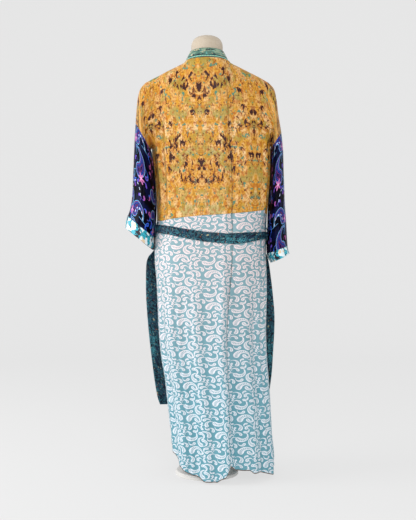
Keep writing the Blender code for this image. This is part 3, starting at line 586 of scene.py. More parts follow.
def scatter(tree, group, place, rows, output, join):
    # every motif of the tile, joined into one value
    joined = None
    for x, y, turn, size, way, bend, wide in rows:
        one = add(
            tree, "Group", node_tree=group, Place=place, Centre=(x / 1000, y / 1000, 0.0),
            Turn=-math.radians(turn), Bend=bend, Wide=wide, Size=size / 1000,
            Scale=(1000 / size, way * 1000 / size, 0.0),
            Tail=(paisley["arc"] * math.cos(bend), paisley["arc"] * math.sin(bend), 0.0),
        ).outputs[output]
        joined = one if joined is None else add(tree, join, joined, one)
    return joined


def printGold(tree, place):
    # printed silk satin, two panels joined at the middle of the back, each printed in mirror image:
    # ochre with cream clouds, dark wine streaks edged with orange, and teal spots
    look = {
        "mirrorMm": 167, "axisMm": 32, "base": "#D3972A", "cream": "#F3CE98",
        "rim": "#B0520E", "dark": "#38150F",
        "specks": (
            (1.2, 0.9, 150.0, 3.0, 0.48, 0.58, 3.0, 0.65, "#A86414"),
            (1.0, 1.0, 24.0, 9.0, 0.50, 0.60, 5.0, 0.60, "#8C8A3C"),
            (1.3, 0.8, 70.0, 15.0, 0.56, 0.61, 2.5, 0.50, "#B0520E"),
            (1.0, 1.0, 120.0, 40.0, 0.62, 0.66, 2.0, 0.75, "#38150F"),
            (1.1, 0.9, 62.0, 21.0, 0.61, 0.64, 2.5, 0.85, "#208272"),
        ),
    }
    parts = add(tree, "SeparateXYZ", place)
    moved = add(tree, "Math SUBTRACT", parts.outputs[0], look["axisMm"] / 1000)
    mirrored = add(tree, "Math PINGPONG", moved, look["mirrorMm"] / 1000)
    spot = add(tree, "CombineXYZ", mirrored, parts.outputs[1])
    cloud = speckle(tree, spot, 1.5, 0.6, 8.0, 50.0, 0.42, 0.60, 2.0)
    cream = speckle(tree, spot, 1.7, 0.75, 32.0, 0.0, 0.43, 0.58, 6.0, 0.70)
    amount = add(tree, "Math MULTIPLY", cream, add(tree, "Math MULTIPLY_ADD", cloud, 0.60, 0.36))
    paint = add(tree, "Mix", amount, colour(look["base"]), colour(look["cream"]))
    paint = speckled(tree, spot, paint, look["specks"])
    # the streaks are where a finer noise passes a level, which is lower inside a cluster
    moved = add(tree, "VectorMath MULTIPLY_ADD", spot, (1.5, 0.75, 1.0), (0.0, 0.0, 27.0))
    streaks = add(tree, "TexNoise", moved, Scale=50.0, Detail=4.0, Roughness=0.65, Distortion=0.7)
    cluster = speckle(tree, spot, 1.0, 1.0, 9.0, 33.0, 0.36, 0.62, 2.0)
    level = add(tree, "Math MULTIPLY_ADD", cluster, 0.17, add(tree, "Math SUBTRACT", streaks, 0.12))
    rim = add(tree, "Math MULTIPLY", add(tree, "MapRange", level, 0.542, 0.572), 0.55)
    paint = add(tree, "Mix", rim, paint, colour(look["rim"]))
    return add(tree, "Mix", add(tree, "MapRange", level, 0.570, 0.600), paint, colour(look["dark"]))


def printTeal(tree, place):
    # silk crepe printed with close pale paisleys that lie across it, on a greyed teal ground, and its hem
    look = {
        "stretch": (1 / 0.74, 1 / 0.50), "top": "#80A0A8", "foot": "#5B98A8", "printTop": "#F8E0E0",
        "printFoot": "#ECF0F8", "hem": "#6E5A50", "hemMm": 2.6, "hemSoftMm": 0.3,
        "blotch": ((1.0, 1.0, 12.0, 5.0, 0.3, 0.7, 3.0, 0.25, "#84B4C2"),),
    }
    group = paisleyGroup("tealPaisley", tealMotifs)
    ink = scatter(tree, group, clothPlace(tree, *look["stretch"]), tealMotifs["rows"], "Ink", "Math MAXIMUM")
    up = add(tree, "MapRange", add(tree, "SeparateXYZ", place).outputs[1], 0.15, 0.75)
    ground = add(tree, "Mix", up, colour(look["foot"]), colour(look["top"]))
    ground = speckled(tree, place, ground, look["blotch"])
    pale = add(tree, "Mix", up, colour(look["printFoot"]), colour(look["printTop"]))
    paint = add(tree, "Mix", ink, ground, pale)
    cloth = add(tree, "Attribute", attribute_name="cloth").outputs["Vector"]
    edge = add(tree, "SeparateXYZ", cloth).outputs[2]
    hem, soft = look["hemMm"] / 1000, look["hemSoftMm"] / 1000
    return add(tree, "Mix", add(tree, "MapRange", edge, hem + soft, hem - soft), paint, colour(look["hem"]))


def aroundPoint(tree, place, x, y):
    # height over, turn round and distance from a point of the navy tile, given in millimetres
    cell = turnedCell(tree, place, (x / 1000, y / 1000, 0.0), 0.0, navyMotifs["tile"])
    parts = add(tree, "SeparateXYZ", cell)
    angle = add(tree, "Math ARCTAN2", parts.outputs[1], parts.outputs[0])
    return parts.outputs[1], angle, add(tree, "VectorMath LENGTH", cell)


def printNavy(tree, place):
    # blue-black silk with big outlined paisleys, small coloured leaves, petals and dotted curls
    look = {
        "stretch": (1 / 0.88, 1 / 1.22), "ground": "#02030E", "leaves": ("#3A66E0", "#6E50C8", "#B45CA4"),
        "groundToo": ((1.0, 1.0, 30.0, 2.0, 0.45, 0.6, 3.0, 1.0, "#090E34"),),
        # millimetres inside the outline, and the colour from there inwards
        "bands": (
            (-1.2, "#6CAEE8"), (0.4, "#060720"), (1.4, "#A84084"), (2.3, "#090B30"), (3.4, "#3060C8"),
            (4.6, "#0C1040"), (6.6, "#3A4AAC"), (8.0, "#0A0C34"), (9.8, "#8A3C80"), (10.8, "#0C1040"),
        ),
        "bandSoftMm": 0.3,
        # place, reach and petals of each flower; place, reach and spacing of the dots of each curl
        "flowerMm": ((98, 66, 14, 6), (60, 150, 11, 5)), "petal": "#CF78B4", "heart": "#E8C8DC",
        "curlMm": ((70, 20, 26), (100, 150, 20)), "dotMm": 2.2, "dot": "#C8D4F4",
    }
    group, drawn = paisleyGroup("navyPaisley", navyMotifs), clothPlace(tree, *look["stretch"])
    paint = speckled(tree, place, colour(look["ground"]), look["groundToo"])
    small = scatter(tree, group, drawn, navyMotifs["small"], "Distance", "Math MINIMUM")
    hue = [speckle(tree, place, 1.0, 1.0, 18.0, shift, 0.50, 0.56) for shift in (8.0, 13.0)]
    leaf = add(tree, "Mix", hue[0], colour(look["leaves"][0]), colour(look["leaves"][1]))
    leaf = add(tree, "Mix", hue[1], leaf, colour(look["leaves"][2]))
    paint = add(tree, "Mix", add(tree, "MapRange", small, paisley["edge"], -paisley["edge"]), paint, leaf)
    vein = add(tree, "Math MULTIPLY", add(tree, "MapRange", small, -0.0022, -0.0030), 0.7)
    paint = add(tree, "Mix", vein, paint, colour(look["ground"]))
    big = scatter(tree, group, drawn, navyMotifs["rows"], "Distance", "Math MINIMUM")
    soft = look["bandSoftMm"] / 1000
    for inside, shade in look["bands"]:
        band = add(tree, "MapRange", big, -inside / 1000 + soft, -inside / 1000 - soft)
        paint = add(tree, "Mix", band, paint, colour(shade))
    for x, y, reach, petals in look["flowerMm"]:
        _, angle, out = aroundPoint(tree, drawn, x, y)
        turned = add(tree, "Math MULTIPLY", angle, petals / 2)
        lobes = add(tree, "Math ABSOLUTE", add(tree, "Math COSINE", turned))
        away = add(tree, "Math SUBTRACT", out, add(tree, "Math MULTIPLY", lobes, reach / 1000))
        petal = add(tree, "MapRange", away, paisley["edge"], -paisley["edge"])
        paint = add(tree, "Mix", petal, paint, colour(look["petal"]))
        paint = add(tree, "Mix", add(tree, "MapRange", out, 0.0030, 0.0022), paint, colour(look["heart"]))
    for x, y, reach in look["curlMm"]:
        height, angle, out = aroundPoint(tree, drawn, x, y)
        wave = add(tree, "Math SINE", add(tree, "Math MULTIPLY", angle, reach / look["dotMm"]))
        thin = add(tree, "Math ABSOLUTE", add(tree, "Math SUBTRACT", out, reach / 1000))
        dotted = add(tree, "MapRange", wave, -0.1, 0.3)
        ring = add(tree, "Math MULTIPLY", add(tree, "MapRange", thin, 0.0018, 0.0012), dotted)
        arch = add(tree, "Math MULTIPLY", ring, add(tree, "MapRange", height, -0.002, 0.002))
        paint = add(tree, "Mix", arch, paint, colour(look["dot"]))
    return paint


def printBelt(tree, place):
    # dark silk with curling teal lines that come and go in bands, and a few cream and orange flecks
    look = {
        "ground": "#101828", "line": "#448C98", "lineWide": (0.085, 0.045), "bandShare": (0.65, 0.35),
        "groundToo": ((1.0, 1.0, 60.0, 1.0, 0.42, 0.6, 3.0, 1.0, "#1E3046"),),
        "flecks": (
            (1.0, 1.6, 110.0, 11.0, 0.69, 0.72, 1.0, 1.0, "#B0A27C"),
            (1.4, 1.0, 100.0, 17.0, 0.70, 0.73, 1.0, 1.0, "#8E4C30"),
        ),
    }
    ground = speckled(tree, place, colour(look["ground"]), look["groundToo"])
    curls = add(tree, "TexNoise", place, Scale=58.0, Detail=0.6, Roughness=0.4, Distortion=2.4)
    line = add(tree, "Math ABSOLUTE", add(tree, "Math SUBTRACT", curls, 0.5))
    bands = speckle(tree, place, 4.0, 18.0, 1.0, 6.0, 0.42, 0.6, 1.0)
    strength = add(tree, "Math MULTIPLY_ADD", bands, *look["bandShare"])
    drawn = add(tree, "Math MULTIPLY", add(tree, "MapRange", line, *look["lineWide"]), strength)
    return speckled(tree, place, add(tree, "Mix", drawn, ground, colour(look["line"])), look["flecks"])


def printBorder(tree, place):
    # border print: mottled sea green and cream, with navy and dotted turquoise stripes along the seam
    look = {
        "green": "#4C7568", "dots": "#E6D8B0", "dotMm": 5.2, "stripeSoftMm": 0.2,
        "mottle": (
            (0.5, 1.4, 60.0, 4.0, 0.44, 0.60, 4.0, 1.0, "#8EA68C"),
            (0.6, 1.4, 75.0, 12.0, 0.56, 0.64, 3.0, 1.0, "#CDBE9A"),
            (0.7, 1.4, 70.0, 26.0, 0.58, 0.66, 2.0, 1.0, "#6FB8AE"),
            (0.7, 1.4, 85.0, 19.0, 0.57, 0.63, 2.0, 1.0, "#1C3434"),
        ),
        "stripesMm": ((0.0, 4.4, "#0A1626"), (4.4, 9.6, "#3FA898"), (9.6, 13.0, "#0B1626")),
    }
    along, up, _ = add(tree, "SeparateXYZ", place).outputs
    paint = speckled(tree, place, colour(look["green"]), look["mottle"])
    soft = look["stripeSoftMm"] / 1000
    for low, high, shade in look["stripesMm"]:
        above = add(tree, "MapRange", up, low / 1000 - soft, low / 1000 + soft)
        below = add(tree, "MapRange", up, high / 1000 + soft, high / 1000 - soft)
        paint = add(tree, "Mix", add(tree, "Math MULTIPLY", above, below), paint, colour(shade))
    wave = add(tree, "Math SINE", add(tree, "Math MULTIPLY", along, 2 * math.pi / (look["dotMm"] / 1000)))
    above, below = add(tree, "MapRange", up, 0.0056, 0.0062), add(tree, "MapRange", up, 0.0086, 0.0080)
    lane = add(tree, "Math MULTIPLY", above, below)
    dots = add(tree, "Math MULTIPLY", lane, add(tree, "MapRange", wave, 0.1, 0.5))
    return add(tree, "Mix", dots, paint, colour(look["dots"]))


def printCuff(tree, place):
    # bright print of the cuffs' facing: white, turquoise and beige patches with dark flecks
    look = {
        "white": "#E8F6FA", "turquoise": "#28AFC4", "line": "#0A5C6E",
        "patches": ((1.0, 1.0, 34.0, 3.0, 0.56, 0.59, 3.0, 1.0, "#E6CDAA"),),
        "flecks": ((1.0, 1.0, 42.0, 20.0, 0.55, 0.58, 2.0, 1.0, "#1E1826"),),
    }
    paint = speckled(tree, place, colour(look["white"]), look["patches"])
    turquoise = speckle(tree, place, 1.0, 1.0, 44.0, 9.0, 0.46, 0.50, 1.5)
    paint = add(tree, "Mix", turquoise, paint, colour(look["turquoise"]))
    line = speckle(tree, place, 0.4, 2.2, 120.0, 14.0, 0.55, 0.60, 1.0)
    paint = add(tree, "Mix", add(tree, "Math MULTIPLY", line, turquoise), paint, colour(look["line"]))
    return speckled(tree, place, paint, look["flecks"])


def linenCover():
    # natural linen: plain weave, drawn with 1.3 mm threads so that it shows, some thicker and darker
    look = {
        "threadMm": 1.3, "thread": "#C8BBA9", "slub": "#B5A48C", "gap": "#A08C6C",
        "slubsPerMetre": (60.0, 900.0),
    }
    linenFinish = {"Roughness": 0.88, "IOR": 1.5, "Sheen Weight": 0.15}
    material, tree, shader = newMaterial("naturalLinen", linenFinish)
    place = add(tree, "Attribute", attribute_name="cloth").outputs["Vector"]
    perMetre = 1000 / look["threadMm"] * math.pi
    parts = add(tree, "SeparateXYZ", place)
    beats = [add(tree, "Math MULTIPLY", parts.outputs[axis], perMetre) for axis in (0, 1)]
    threads = [add(tree, "Math ABSOLUTE", add(tree, "Math SINE", beat)) for beat in beats]
    weave = add(tree, "Math MULTIPLY", *threads)
    rare, close = look["slubsPerMetre"]
    across = speckle(tree, place, rare, close, 1.0, 2.0, 0.35, 0.7, 2.0)
    down = speckle(tree, place, close, rare, 1.0, 5.0, 0.35, 0.7, 2.0)
    slubs = add(tree, "Math MULTIPLY", across, down)
    paint = add(tree, "Mix", slubs, colour(look["thread"]), colour(look["slub"]))
    # darker where the threads part: partly the colour seen between them, partly painted shade
    gapsAndShade = add(tree, "MapRange", weave, 0.0, 0.5, 0.3, 0.0)
    feed(tree, shader.inputs["Base Color"], add(tree, "Mix", gapsAndShade, paint, colour(look["gap"])))
    feed(tree, shader.inputs["Normal"], add(tree, "Bump", Strength=0.6, Distance=0.0003, Height=weave))
    return material


def lacqueredSteel():
    # powder-coated steel plate: a fine orange peel under an even off-white coat
    coat = {"Base Color": colour("#E2E0DC"), "Roughness": 0.38, "IOR": 1.5, "Coat Weight": 0.15}
    material, tree, shader = newMaterial("offWhiteLacquer", coat)
    where = add(tree, "TexCoord").outputs["Object"]
    peel = add(tree, "TexNoise", where, Scale=450.0, Detail=1.0)
    feed(tree, shader.inputs["Normal"], add(tree, "Bump", Strength=0.25, Distance=0.0002, Height=peel))
    return material


def brushedTube():
    # brushed steel tube: fine scratches round it, so the highlight spreads along it
    brushed = {"Base Color": colour("#B9BABB"), "Metallic": 1.0, "Roughness": 0.32}
    material, tree, shader = newMaterial("brushedSteelTube", brushed)
    where = add(tree, "TexCoord").outputs["Object"]
    drawn = add(tree, "VectorMath MULTIPLY", where, (40.0, 40.0, 1800.0))
    scratches = add(tree, "TexNoise", drawn, Scale=1.0, Detail=2.0)
    feed(tree, shader.inputs["Roughness"], add(tree, "MapRange", scratches, 0.3, 0.7, 0.24, 0.42))
    return material


# the gold satin and the dark silks are less glossy than the crepe, so that their colour shows from every side
goldFinish = {"Roughness": 0.56, "Sheen Weight": 0.03, "Specular IOR Level": 0.22}
navyFinish = {"Roughness": 0.38, "Sheen Weight": 0.0, "Specular IOR Level": 0.035}
beltFinish = {"Roughness": 0.5, "Sheen Weight": 0.0, "Specular IOR Level": 0.1}
# sewn=True gives these silks painted shade along their sewn lines
gold = silkCloth("goldPrintSilk", printGold, goldFinish, sewn=True)
teal = silkCloth("tealPaisleySilk", printTeal, {"Roughness": 0.52}, sewn=True)
navy = silkCloth("navyPaisleySilk", printNavy, navyFinish, sewn=True)
beltPrint = silkCloth("darkTealBeltSilk", printBelt, beltFinish, 0.6)
bandPrint = silkCloth("greenBorderSilk", printBorder, {"Roughness": 0.5}, 0.5)
cuffPrint = silkCloth("turquoiseCuffSilk", printCuff, {"Roughness": 0.5}, 0.5)
print("materials are made")


def lifted(points, amount):
    # moves a grid along its own normals
    normals = np.cross(np.gradient(points, axis=1), np.gradient(points, axis=0))
    return points + amount * normals / np.linalg.norm(normals, axis=-1, keepdims=True)


# the seam down the middle of the back: its place across the cloth, at heights along it, and its groove
backSeam = {
    "heights": (0.10, 0.66, 0.80, 1.24), "places": (-0.045, -0.066, -0.062, -0.053),
    "depth": 0.0018, "width": 0.0035,
}
# how far from the armhole the cloth is smoothed, how often, and at how many places round it that is measured
armholeEase = {"reach": 0.022, "rounds": 12, "places": 45}


def bodyPart(bm, columns, rows, zero, low=0.0):
    # part of the body; the cloth's own place is the length from column zero and the height up the cloth
    points = clothPoint(columns[None, :], rows[:, None])
    across = alongRows(points)
    start = np.array([np.interp(zero, columns, row) for row in across])
    up = alongColumns(points)
    cloth = flatPlace(start[:, None] - across, points[:1, :, 2] + up, low + up)
    seam = np.abs(cloth[..., 0] - np.interp(cloth[..., 1], backSeam["heights"], backSeam["places"]))
    if zero != backColumn:
        seam = seam + noSeam
    points = lifted(points, -backSeam["depth"] * np.exp(-((seam / backSeam["width"]) ** 2))[..., None])
    addPatch(bm, points, cloth, seam=seam)
    return cloth


def capPart(bm, side, isFront, armCloth):
    # the cloth past the armhole line, over the shoulder's end and down to the sleeve seam
    arm, end = (shoulderRows + armColumns, rootSteps) if isFront else (shoulderRows, 0)
    steps = np.concatenate([stops(sideStep, arm, fine["columns"]), stops(arm, end, fine["shoulderRows"])[1:]])
    points = sleevePoint(side, stops(0, seamRing, fine["capRings"])[:, None], steps[None, :])
    out = alongColumns(points)[..., None]
    outwards = -side if isFront else side
    cloth = armCloth[None] * (1.0, 1.0, 0.0) + out * (outwards, 0.0, 0.0) + (0.0, 0.0, awayFromHem)
    addPatch(bm, points, cloth, flipped=(side > 0) == isFront)


def upperPart(name, seams, arms, zero, caps, node, flat, area):
    # the gold part of one side: up to the underarms, over the shoulders, and the caps
    bm = bmesh.new()
    columns = stops(*seams, fine["columns"])
    body = bodyPart(bm, columns, stops(panelRow, underarmRow, fine["rows"]), zero)
    shoulder = stops(underarmRow, topRow, fine["shoulderRows"])
    top = bodyPart(bm, stops(*arms, fine["columns"]), shoulder, zero, awayFromHem)
    for side in caps:
        seam = leftSideSeam if side > 0 else rightSideSeam
        arm = min(arms, key=lambda column: abs(column - seam))
        under = body[-1][(columns - seam) * (columns - arm) <= 1e-9]
        under = under if arm > seam else under[::-1]
        edge = top[:, 0 if arm == arms[0] else -1]
        capPart(bm, side, len(caps) == 1, np.concatenate([under, edge[1:]]))
    bmesh.ops.remove_doubles(bm, verts=bm.verts, dist=mergeGap)
    around = np.linspace(0, rootSteps, armholeEase["places"])
    line = np.concatenate([armholePoint(side, around) for side in caps])
    away = [np.min(np.sum((line - np.array(v.co)) ** 2, axis=1)) for v in bm.verts]
    near = [v for v, square in zip(bm.verts, away) if square < armholeEase["reach"] ** 2]
    soften(bm, near, armholeEase["rounds"])
    dress(finishMesh(name, bm, gold), [node])


def lowerPart(name, seams, zero, node, flat, area):
    bm = bmesh.new()
    bodyPart(bm, stops(*seams, fine["columns"]), stops(0, panelRow, fine["rows"]), zero)
    dress(finishMesh(name, bm, teal), [node])


def sleevePart(name, side, rings, material, node, slot, flat, area, lift=0.0):
    # a tube, with its seam at the underarm
    steps = stops(-rootSteps / 2, rootSteps / 2, fine["columns"])
    rings = stops(*rings, fine["sleeveRings"])
    points = sleevePoint(side, rings[:, None], np.mod(steps, rootSteps)[None, :])
    if lift:
        points = lifted(points, -side * lift)
    across, down = alongRows(points), alongColumns(points)
    bm = bmesh.new()
    addPatch(bm, points, flatPlace(across - across[:, -1:] / 2, -down, down[-1:] - down), flipped=side > 0)
    dress(finishMesh(name, bm, material, merged=False), [node])


upperBack = {
    "seams": (leftSideSeam, rightSideSeam), "arms": (leftBackArm, rightBackArm), "zero": backColumn,
    "caps": (1, -1), "node": "upper_back", "flat": (0.80, 0.54), "area": 0.228,
}
upperPart("upperBack", **upperBack)
upperFrontLeft = {
    "seams": (leftSeam, leftSideSeam), "arms": (leftSeam, leftFrontArm), "zero": leftSeam, "caps": (1,),
    "node": "upper_front_left", "flat": (0.27, 0.545), "area": 0.095,
}
upperPart("upperFrontLeft", **upperFrontLeft)
upperFrontRight = {
    "seams": (rightSideSeam, rightSeam), "arms": (rightFrontArm, rightSeam), "zero": rightSeam, "caps": (-1,),
    "node": "upper_front_right", "flat": (0.31, 0.555), "area": 0.097,
}
upperPart("upperFrontRight", **upperFrontRight)
lowerBack = {
    "seams": (leftSideSeam, rightSideSeam), "zero": backColumn,
    "node": "lower_back", "flat": (0.50, 0.80), "area": 0.318,
}
lowerPart("lowerBack", **lowerBack)
lowerFrontLeft = {
    "seams": (leftSeam, leftSideSeam), "zero": leftSeam,
    "node": "lower_front_left", "flat": (0.27, 0.735), "area": 0.148,
}
lowerPart("lowerFrontLeft", **lowerFrontLeft)
lowerFrontRight = {
    "seams": (rightSideSeam, rightSeam), "zero": rightSeam,
    "node": "lower_front_right", "flat": (0.23, 0.77), "area": 0.165,
}
lowerPart("lowerFrontRight", **lowerFrontRight)
sleeveLeft = {
    "side": 1, "rings": (seamRing, lastRing), "material": navy,
    "node": "sleeve_left", "slot": "navy_silk", "flat": (0.435, 0.325), "area": 0.116,
}
sleevePart("sleeveLeft", **sleeveLeft)
sleeveRight = {
    "side": -1, "rings": (seamRing, cuffRing), "material": navy,
    "node": "sleeve_right", "slot": "navy_silk", "flat": (0.37, 0.345), "area": 0.114,
}
sleevePart("sleeveRight", **sleeveRight)
cuffRight = {
    "side": -1, "rings": (cuffRing, lastRing), "material": cuffPrint,
    "node": "cuff_right", "slot": "cuff_silk", "flat": (0.37, 0.031), "area": 0.0103,
}
sleevePart("cuffRight", **cuffRight)
cuffLeft = {
    "side": 1, "rings": (cuffRing, lastRing), "material": cuffPrint,
    "node": "cuff_left", "slot": "cuff_silk", "flat": (0.447, 0.037), "area": 0.0154,
    "lift": 0.0021,  # it is turned up over the sleeve
}
sleevePart("cuffLeft", **cuffLeft)
print("the robe's body and sleeves are made")

# the collar: two front bands and the part round the back of the neck, folded double
collarBand = {"flat": (0.040, 2.78), "area": 0.106, "neckSteps": 61, "neckLevels": 11}
bm = bmesh.new()
bandRows = stops(0, topRow, fine["bandRows"])[:, None]
leftBand = clothPoint(stops(0, leftSeam, fine["columns"])[None, :], bandRows)
leftUp = alongColumns(leftBand)[:, -1:]
leftOut = np.linalg.norm(leftBand - leftBand[:, -1:], axis=-1)
addPatch(bm, leftBand, flatPlace(leftUp + 0 * leftOut, leftOut, leftOut))
neckAngles = np.linspace(90, -90, collarBand["neckSteps"])
neckLevels = np.linspace(0, 1, collarBand["neckLevels"])[:, None]
neckBand = neckPoint(neckAngles)[None] + collarRise(neckAngles)[None] * neckLevels[..., None]
neckRound = leftUp[-1, 0] + neckRadius * np.radians(90 - neckAngles)
addPatch(bm, neckBand, flatPlace(neckRound[None] + 0 * neckLevels, collarWidth * neckLevels))
rightBand = clothPoint(stops(rightSeam, lastColumn, fine["columns"])[None, :], bandRows)
rightUp = alongColumns(rightBand)[:, :1]
rightOut = np.linalg.norm(rightBand - rightBand[:, :1], axis=-1)
rightPlace = neckRound[-1] + rightUp[-1, 0] - rightUp
addPatch(bm, rightBand, flatPlace(rightPlace + 0 * rightOut, rightOut, rightOut))
dress(
    finishMesh("collarBand", bm, bandPrint), ["neckband_back", "front_band_left", "front_band_right"],
)

# the belt: round the back and sides, with its ends folded over at the front of the sides
belt = {"thickness": 0.0030, "gap": 0.0003, "roundMm": 0.7, "columns": 6}
beltColumns = stops(leftFrontArm + 1, rightFrontArm - 1, belt["columns"])[None, :]
beltRows = stops(beltFootRow, beltTopRow, fine["rows"])[:, None]
belly = belt["roundMm"] / 1000 * np.sin(np.linspace(0, math.pi, len(beltRows)))[:, None, None]
beltPoints = lifted(clothPoint(beltColumns, beltRows), belt["gap"] + belt["thickness"] + belly)
bm = bmesh.new()
addPatch(bm, beltPoints, flatPlace(alongRows(beltPoints), alongColumns(beltPoints)))
dress(
    finishMesh("beltBack", bm, beltPrint), ["belt_back"],
    belt["thickness"],
)


def finer(grid, count):
    # smooth curves down the columns of a grid of points, turned so that each row is one of them
    at = np.linspace(0, len(grid) - 1, count)
    curves = [
        [curveThrough(at, np.arange(len(grid)), grid[:, column, axis]) for axis in range(3)]
        for column in range(grid.shape[1])
    ]
    return np.array(curves).transpose(0, 2, 1)


def smoothStrip(keys, alongCount, acrossCount):
    # fine smooth grid through a coarse one
    return finer(finer(keys, alongCount), acrossCount)


# the ends below their fold: height, place of the outer edge, and turn of the inner edge on the skirt
beltEnds = {
    1: [
        (0.700, 0.1640, -0.048, 120), (0.684, 0.1740, -0.053, 120), (0.668, 0.1870, -0.060, 121),
        (0.640, 0.1935, -0.066, 122), (0.560, 0.1946, -0.073, 123), (0.494, 0.1914, -0.076, 124),
        (0.418, 0.1850, -0.078, 124), (0.360, 0.1786, -0.080, 125), (0.284, 0.1690, -0.082, 126),
        (0.226, 0.1595, -0.084, 127), (0.198, 0.1510, -0.086, 128),
    ],
    -1: [
        (0.690, 0.1850, -0.050, 120), (0.655, 0.1955, -0.060, 121), (0.590, 0.2050, -0.066, 122),
        (0.542, 0.2105, -0.070, 123), (0.490, 0.2150, -0.074, 124), (0.437, 0.2150, -0.076, 126),
        (0.379, 0.2120, -0.078, 128), (0.303, 0.2074, -0.081, 132), (0.250, 0.2010, -0.083, 135),
        (0.200, 0.1940, -0.085, 138),
    ],
}
# columns of the body that carry the fold, clearance from the skirt, how the strip bows, and its grid
beltFold = {"columns": (2, 1, 0, -2), "clear": 0.0030, "bow": (0.0009, 0.0029), "along": 200, "across": 13}


def beltEnd(name, side, node, flat, area):
    near = np.arange(-3, 4) + (leftFrontArm if side > 0 else rightFrontArm)
    rows = np.arange(beltTopRow + 1, beltFootRow - 2, -1)
    grid = lifted(clothPoint(near[None, :], rows[:, None]), -(3 * belt["gap"] + 2 * belt["thickness"]))
    keys = [grid[row, [3 + side * step for step in beltFold["columns"]]] for row in (1, 2, 3)]
    for z, outX, outY, innerTurn in beltEnds[side]:
        inner = bodyPoint(np.array(float(side * innerTurn)), z)
        away = inner * (1, 1, 0)
        inner = inner + away / np.linalg.norm(away) * (belt["thickness"] + beltFold["clear"])
        outer = np.array([side * outX, outY, z])
        bow = np.array([side * beltFold["bow"][0], -beltFold["bow"][1], 0])
        shares = (0, 1 / 3, 2 / 3, 1)
        keys.append([outer + (inner - outer) * share + bow * math.sin(math.pi * share) for share in shares])
    points = smoothStrip(np.array(keys), beltFold["along"], beltFold["across"])
    bm = bmesh.new()
    addPatch(bm, points, flatPlace(alongColumns(points), alongRows(points)), flipped=side < 0)
    dress(finishMesh(name, bm, beltPrint), [node], belt["thickness"])


# the loops are narrow and sewn into the side seams; their path is in rows above the belt's foot, on the cloth
# below the belt, over the belt, and on the cloth above it
loop = {
    "width": 0.006, "thickness": 0.0015, "clear": 0.0006, "step": 0.2, "along": 60, "across": 5,
    "below": (-0.28, -0.12), "over": (-0.04, 0.5, 1.0, 1.5, 2.1), "above": (2.3, 2.6),
}


def beltLoop(name, column, node, flat, area):
    low = loop["clear"] + loop["thickness"]
    over = low + belt["gap"] + belt["thickness"] + belt["roundMm"] / 1000
    side = np.array([-loop["step"], 0, loop["step"]])
    keys = []
    for step in (*loop["below"], *loop["over"], *loop["above"]):
        lift = over if step in loop["over"] else low
        grid = clothPoint(column + side[None, :], beltFootRow + step + side[:, None])
        here, out = grid[1, 1], lifted(grid, lift)[1, 1]
        way = np.cross((0, 0, 1), out - here)
        way = way / np.linalg.norm(way)
        keys.append([out + way * loop["width"] * share for share in (-0.5, 0, 0.5)])
    points = smoothStrip(np.array(keys), loop["along"], loop["across"])
    bm = bmesh.new()
    addPatch(bm, points, flatPlace(alongColumns(points), alongRows(points)))
    dress(finishMesh(name, bm, beltPrint), [node], loop["thickness"])


beltEndLeft = {"side": 1, "node": "belt_end_left", "flat": (0.065, 0.58), "area": 0.033}
beltEnd("beltEndLeft", **beltEndLeft)
beltEndRight = {"side": -1, "node": "belt_end_right", "flat": (0.058, 0.55), "area": 0.0265}
beltEnd("beltEndRight", **beltEndRight)
beltLoopLeft = {"column": leftSideSeam, "node": "belt_loop_left", "flat": (0.012, 0.051), "area": 0.00031}
beltLoop("beltLoopLeft", **beltLoopLeft)
beltLoopRight = {"column": rightSideSeam, "node": "belt_loop_right", "flat": (0.012, 0.074), "area": 0.00045}
beltLoop("beltLoopRight", **beltLoopRight)
print("the collar and the belt are made")

# the dress form: height, half width and depths behind and before, from the neck's top to the foot
formSections = np.array([
    (1.3530, 0.010, 0.010, 0.010), (1.3520, 0.020, 0.020, 0.020), (1.3485, 0.0315, 0.0315, 0.0315),
    (1.3420, 0.0405, 0.0405, 0.0405), (1.3320, 0.0465, 0.0465, 0.0465), (1.3000, 0.0488, 0.0498, 0.0480),
    (1.2850, 0.0510, 0.0515, 0.0490), (1.2700, 0.0570, 0.0540, 0.0500), (1.2593, 0.0790, 0.041, 0.040),
    (1.2408, 0.1170, 0.042, 0.041), (1.2213, 0.1590, 0.047, 0.046), (1.2050, 0.1690, 0.063, 0.061),
    (1.1800, 0.1710, 0.074, 0.073), (1.1400, 0.1690, 0.084, 0.086), (1.0950, 0.1630, 0.090, 0.096),
    (1.0500, 0.1560, 0.093, 0.105), (1.0200, 0.1520, 0.091, 0.106), (0.9700, 0.1430, 0.086, 0.101),
    (0.9200, 0.1270, 0.079, 0.090), (0.8700, 0.1180, 0.077, 0.085), (0.8200, 0.1240, 0.084, 0.090),
    (0.7600, 0.1370, 0.096, 0.096), (0.7000, 0.1440, 0.103, 0.099), (0.6400, 0.1440, 0.105, 0.099),
    (0.5800, 0.1400, 0.104, 0.097), (0.5450, 0.1360, 0.100, 0.094),
])
dressForm = {"sides": 96, "levels": 260, "middle": 1.0}
downForm = np.concatenate([[0], np.cumsum(np.hypot(*np.diff(formSections[:, :2], axis=0).T))])
places = np.unique(np.concatenate([np.linspace(0, downForm[-1], dressForm["levels"]), downForm]))
levels = np.stack([curveThrough(places, downForm, formSections[:, k]) for k in range(4)], -1)
around = np.linspace(0, 2 * math.pi, dressForm["sides"] + 1)
sine, cosine = np.sin(around)[None], np.cos(around)[None]
depths = np.where(cosine > 0, levels[:, 2:3], levels[:, 3:4])
formPoints = np.stack([levels[:, 1:2] * sine, depths * cosine, levels[:, :1] + 0 * sine], -1)
bm = bmesh.new()
formAcross = alongRows(formPoints)
addPatch(bm, formPoints, flatPlace(formAcross - formAcross[:, -1:] / 2, -places[:, None]))
bmesh.ops.remove_doubles(bm, verts=bm.verts, dist=mergeGap)
for isTop in (True, False):
    rim = [e for e in bm.edges if e.is_boundary and (e.verts[0].co.z > dressForm["middle"]) == isTop]
    bmesh.ops.contextual_create(bm, geom=rim)
bmesh.ops.recalc_face_normals(bm, faces=bm.faces)
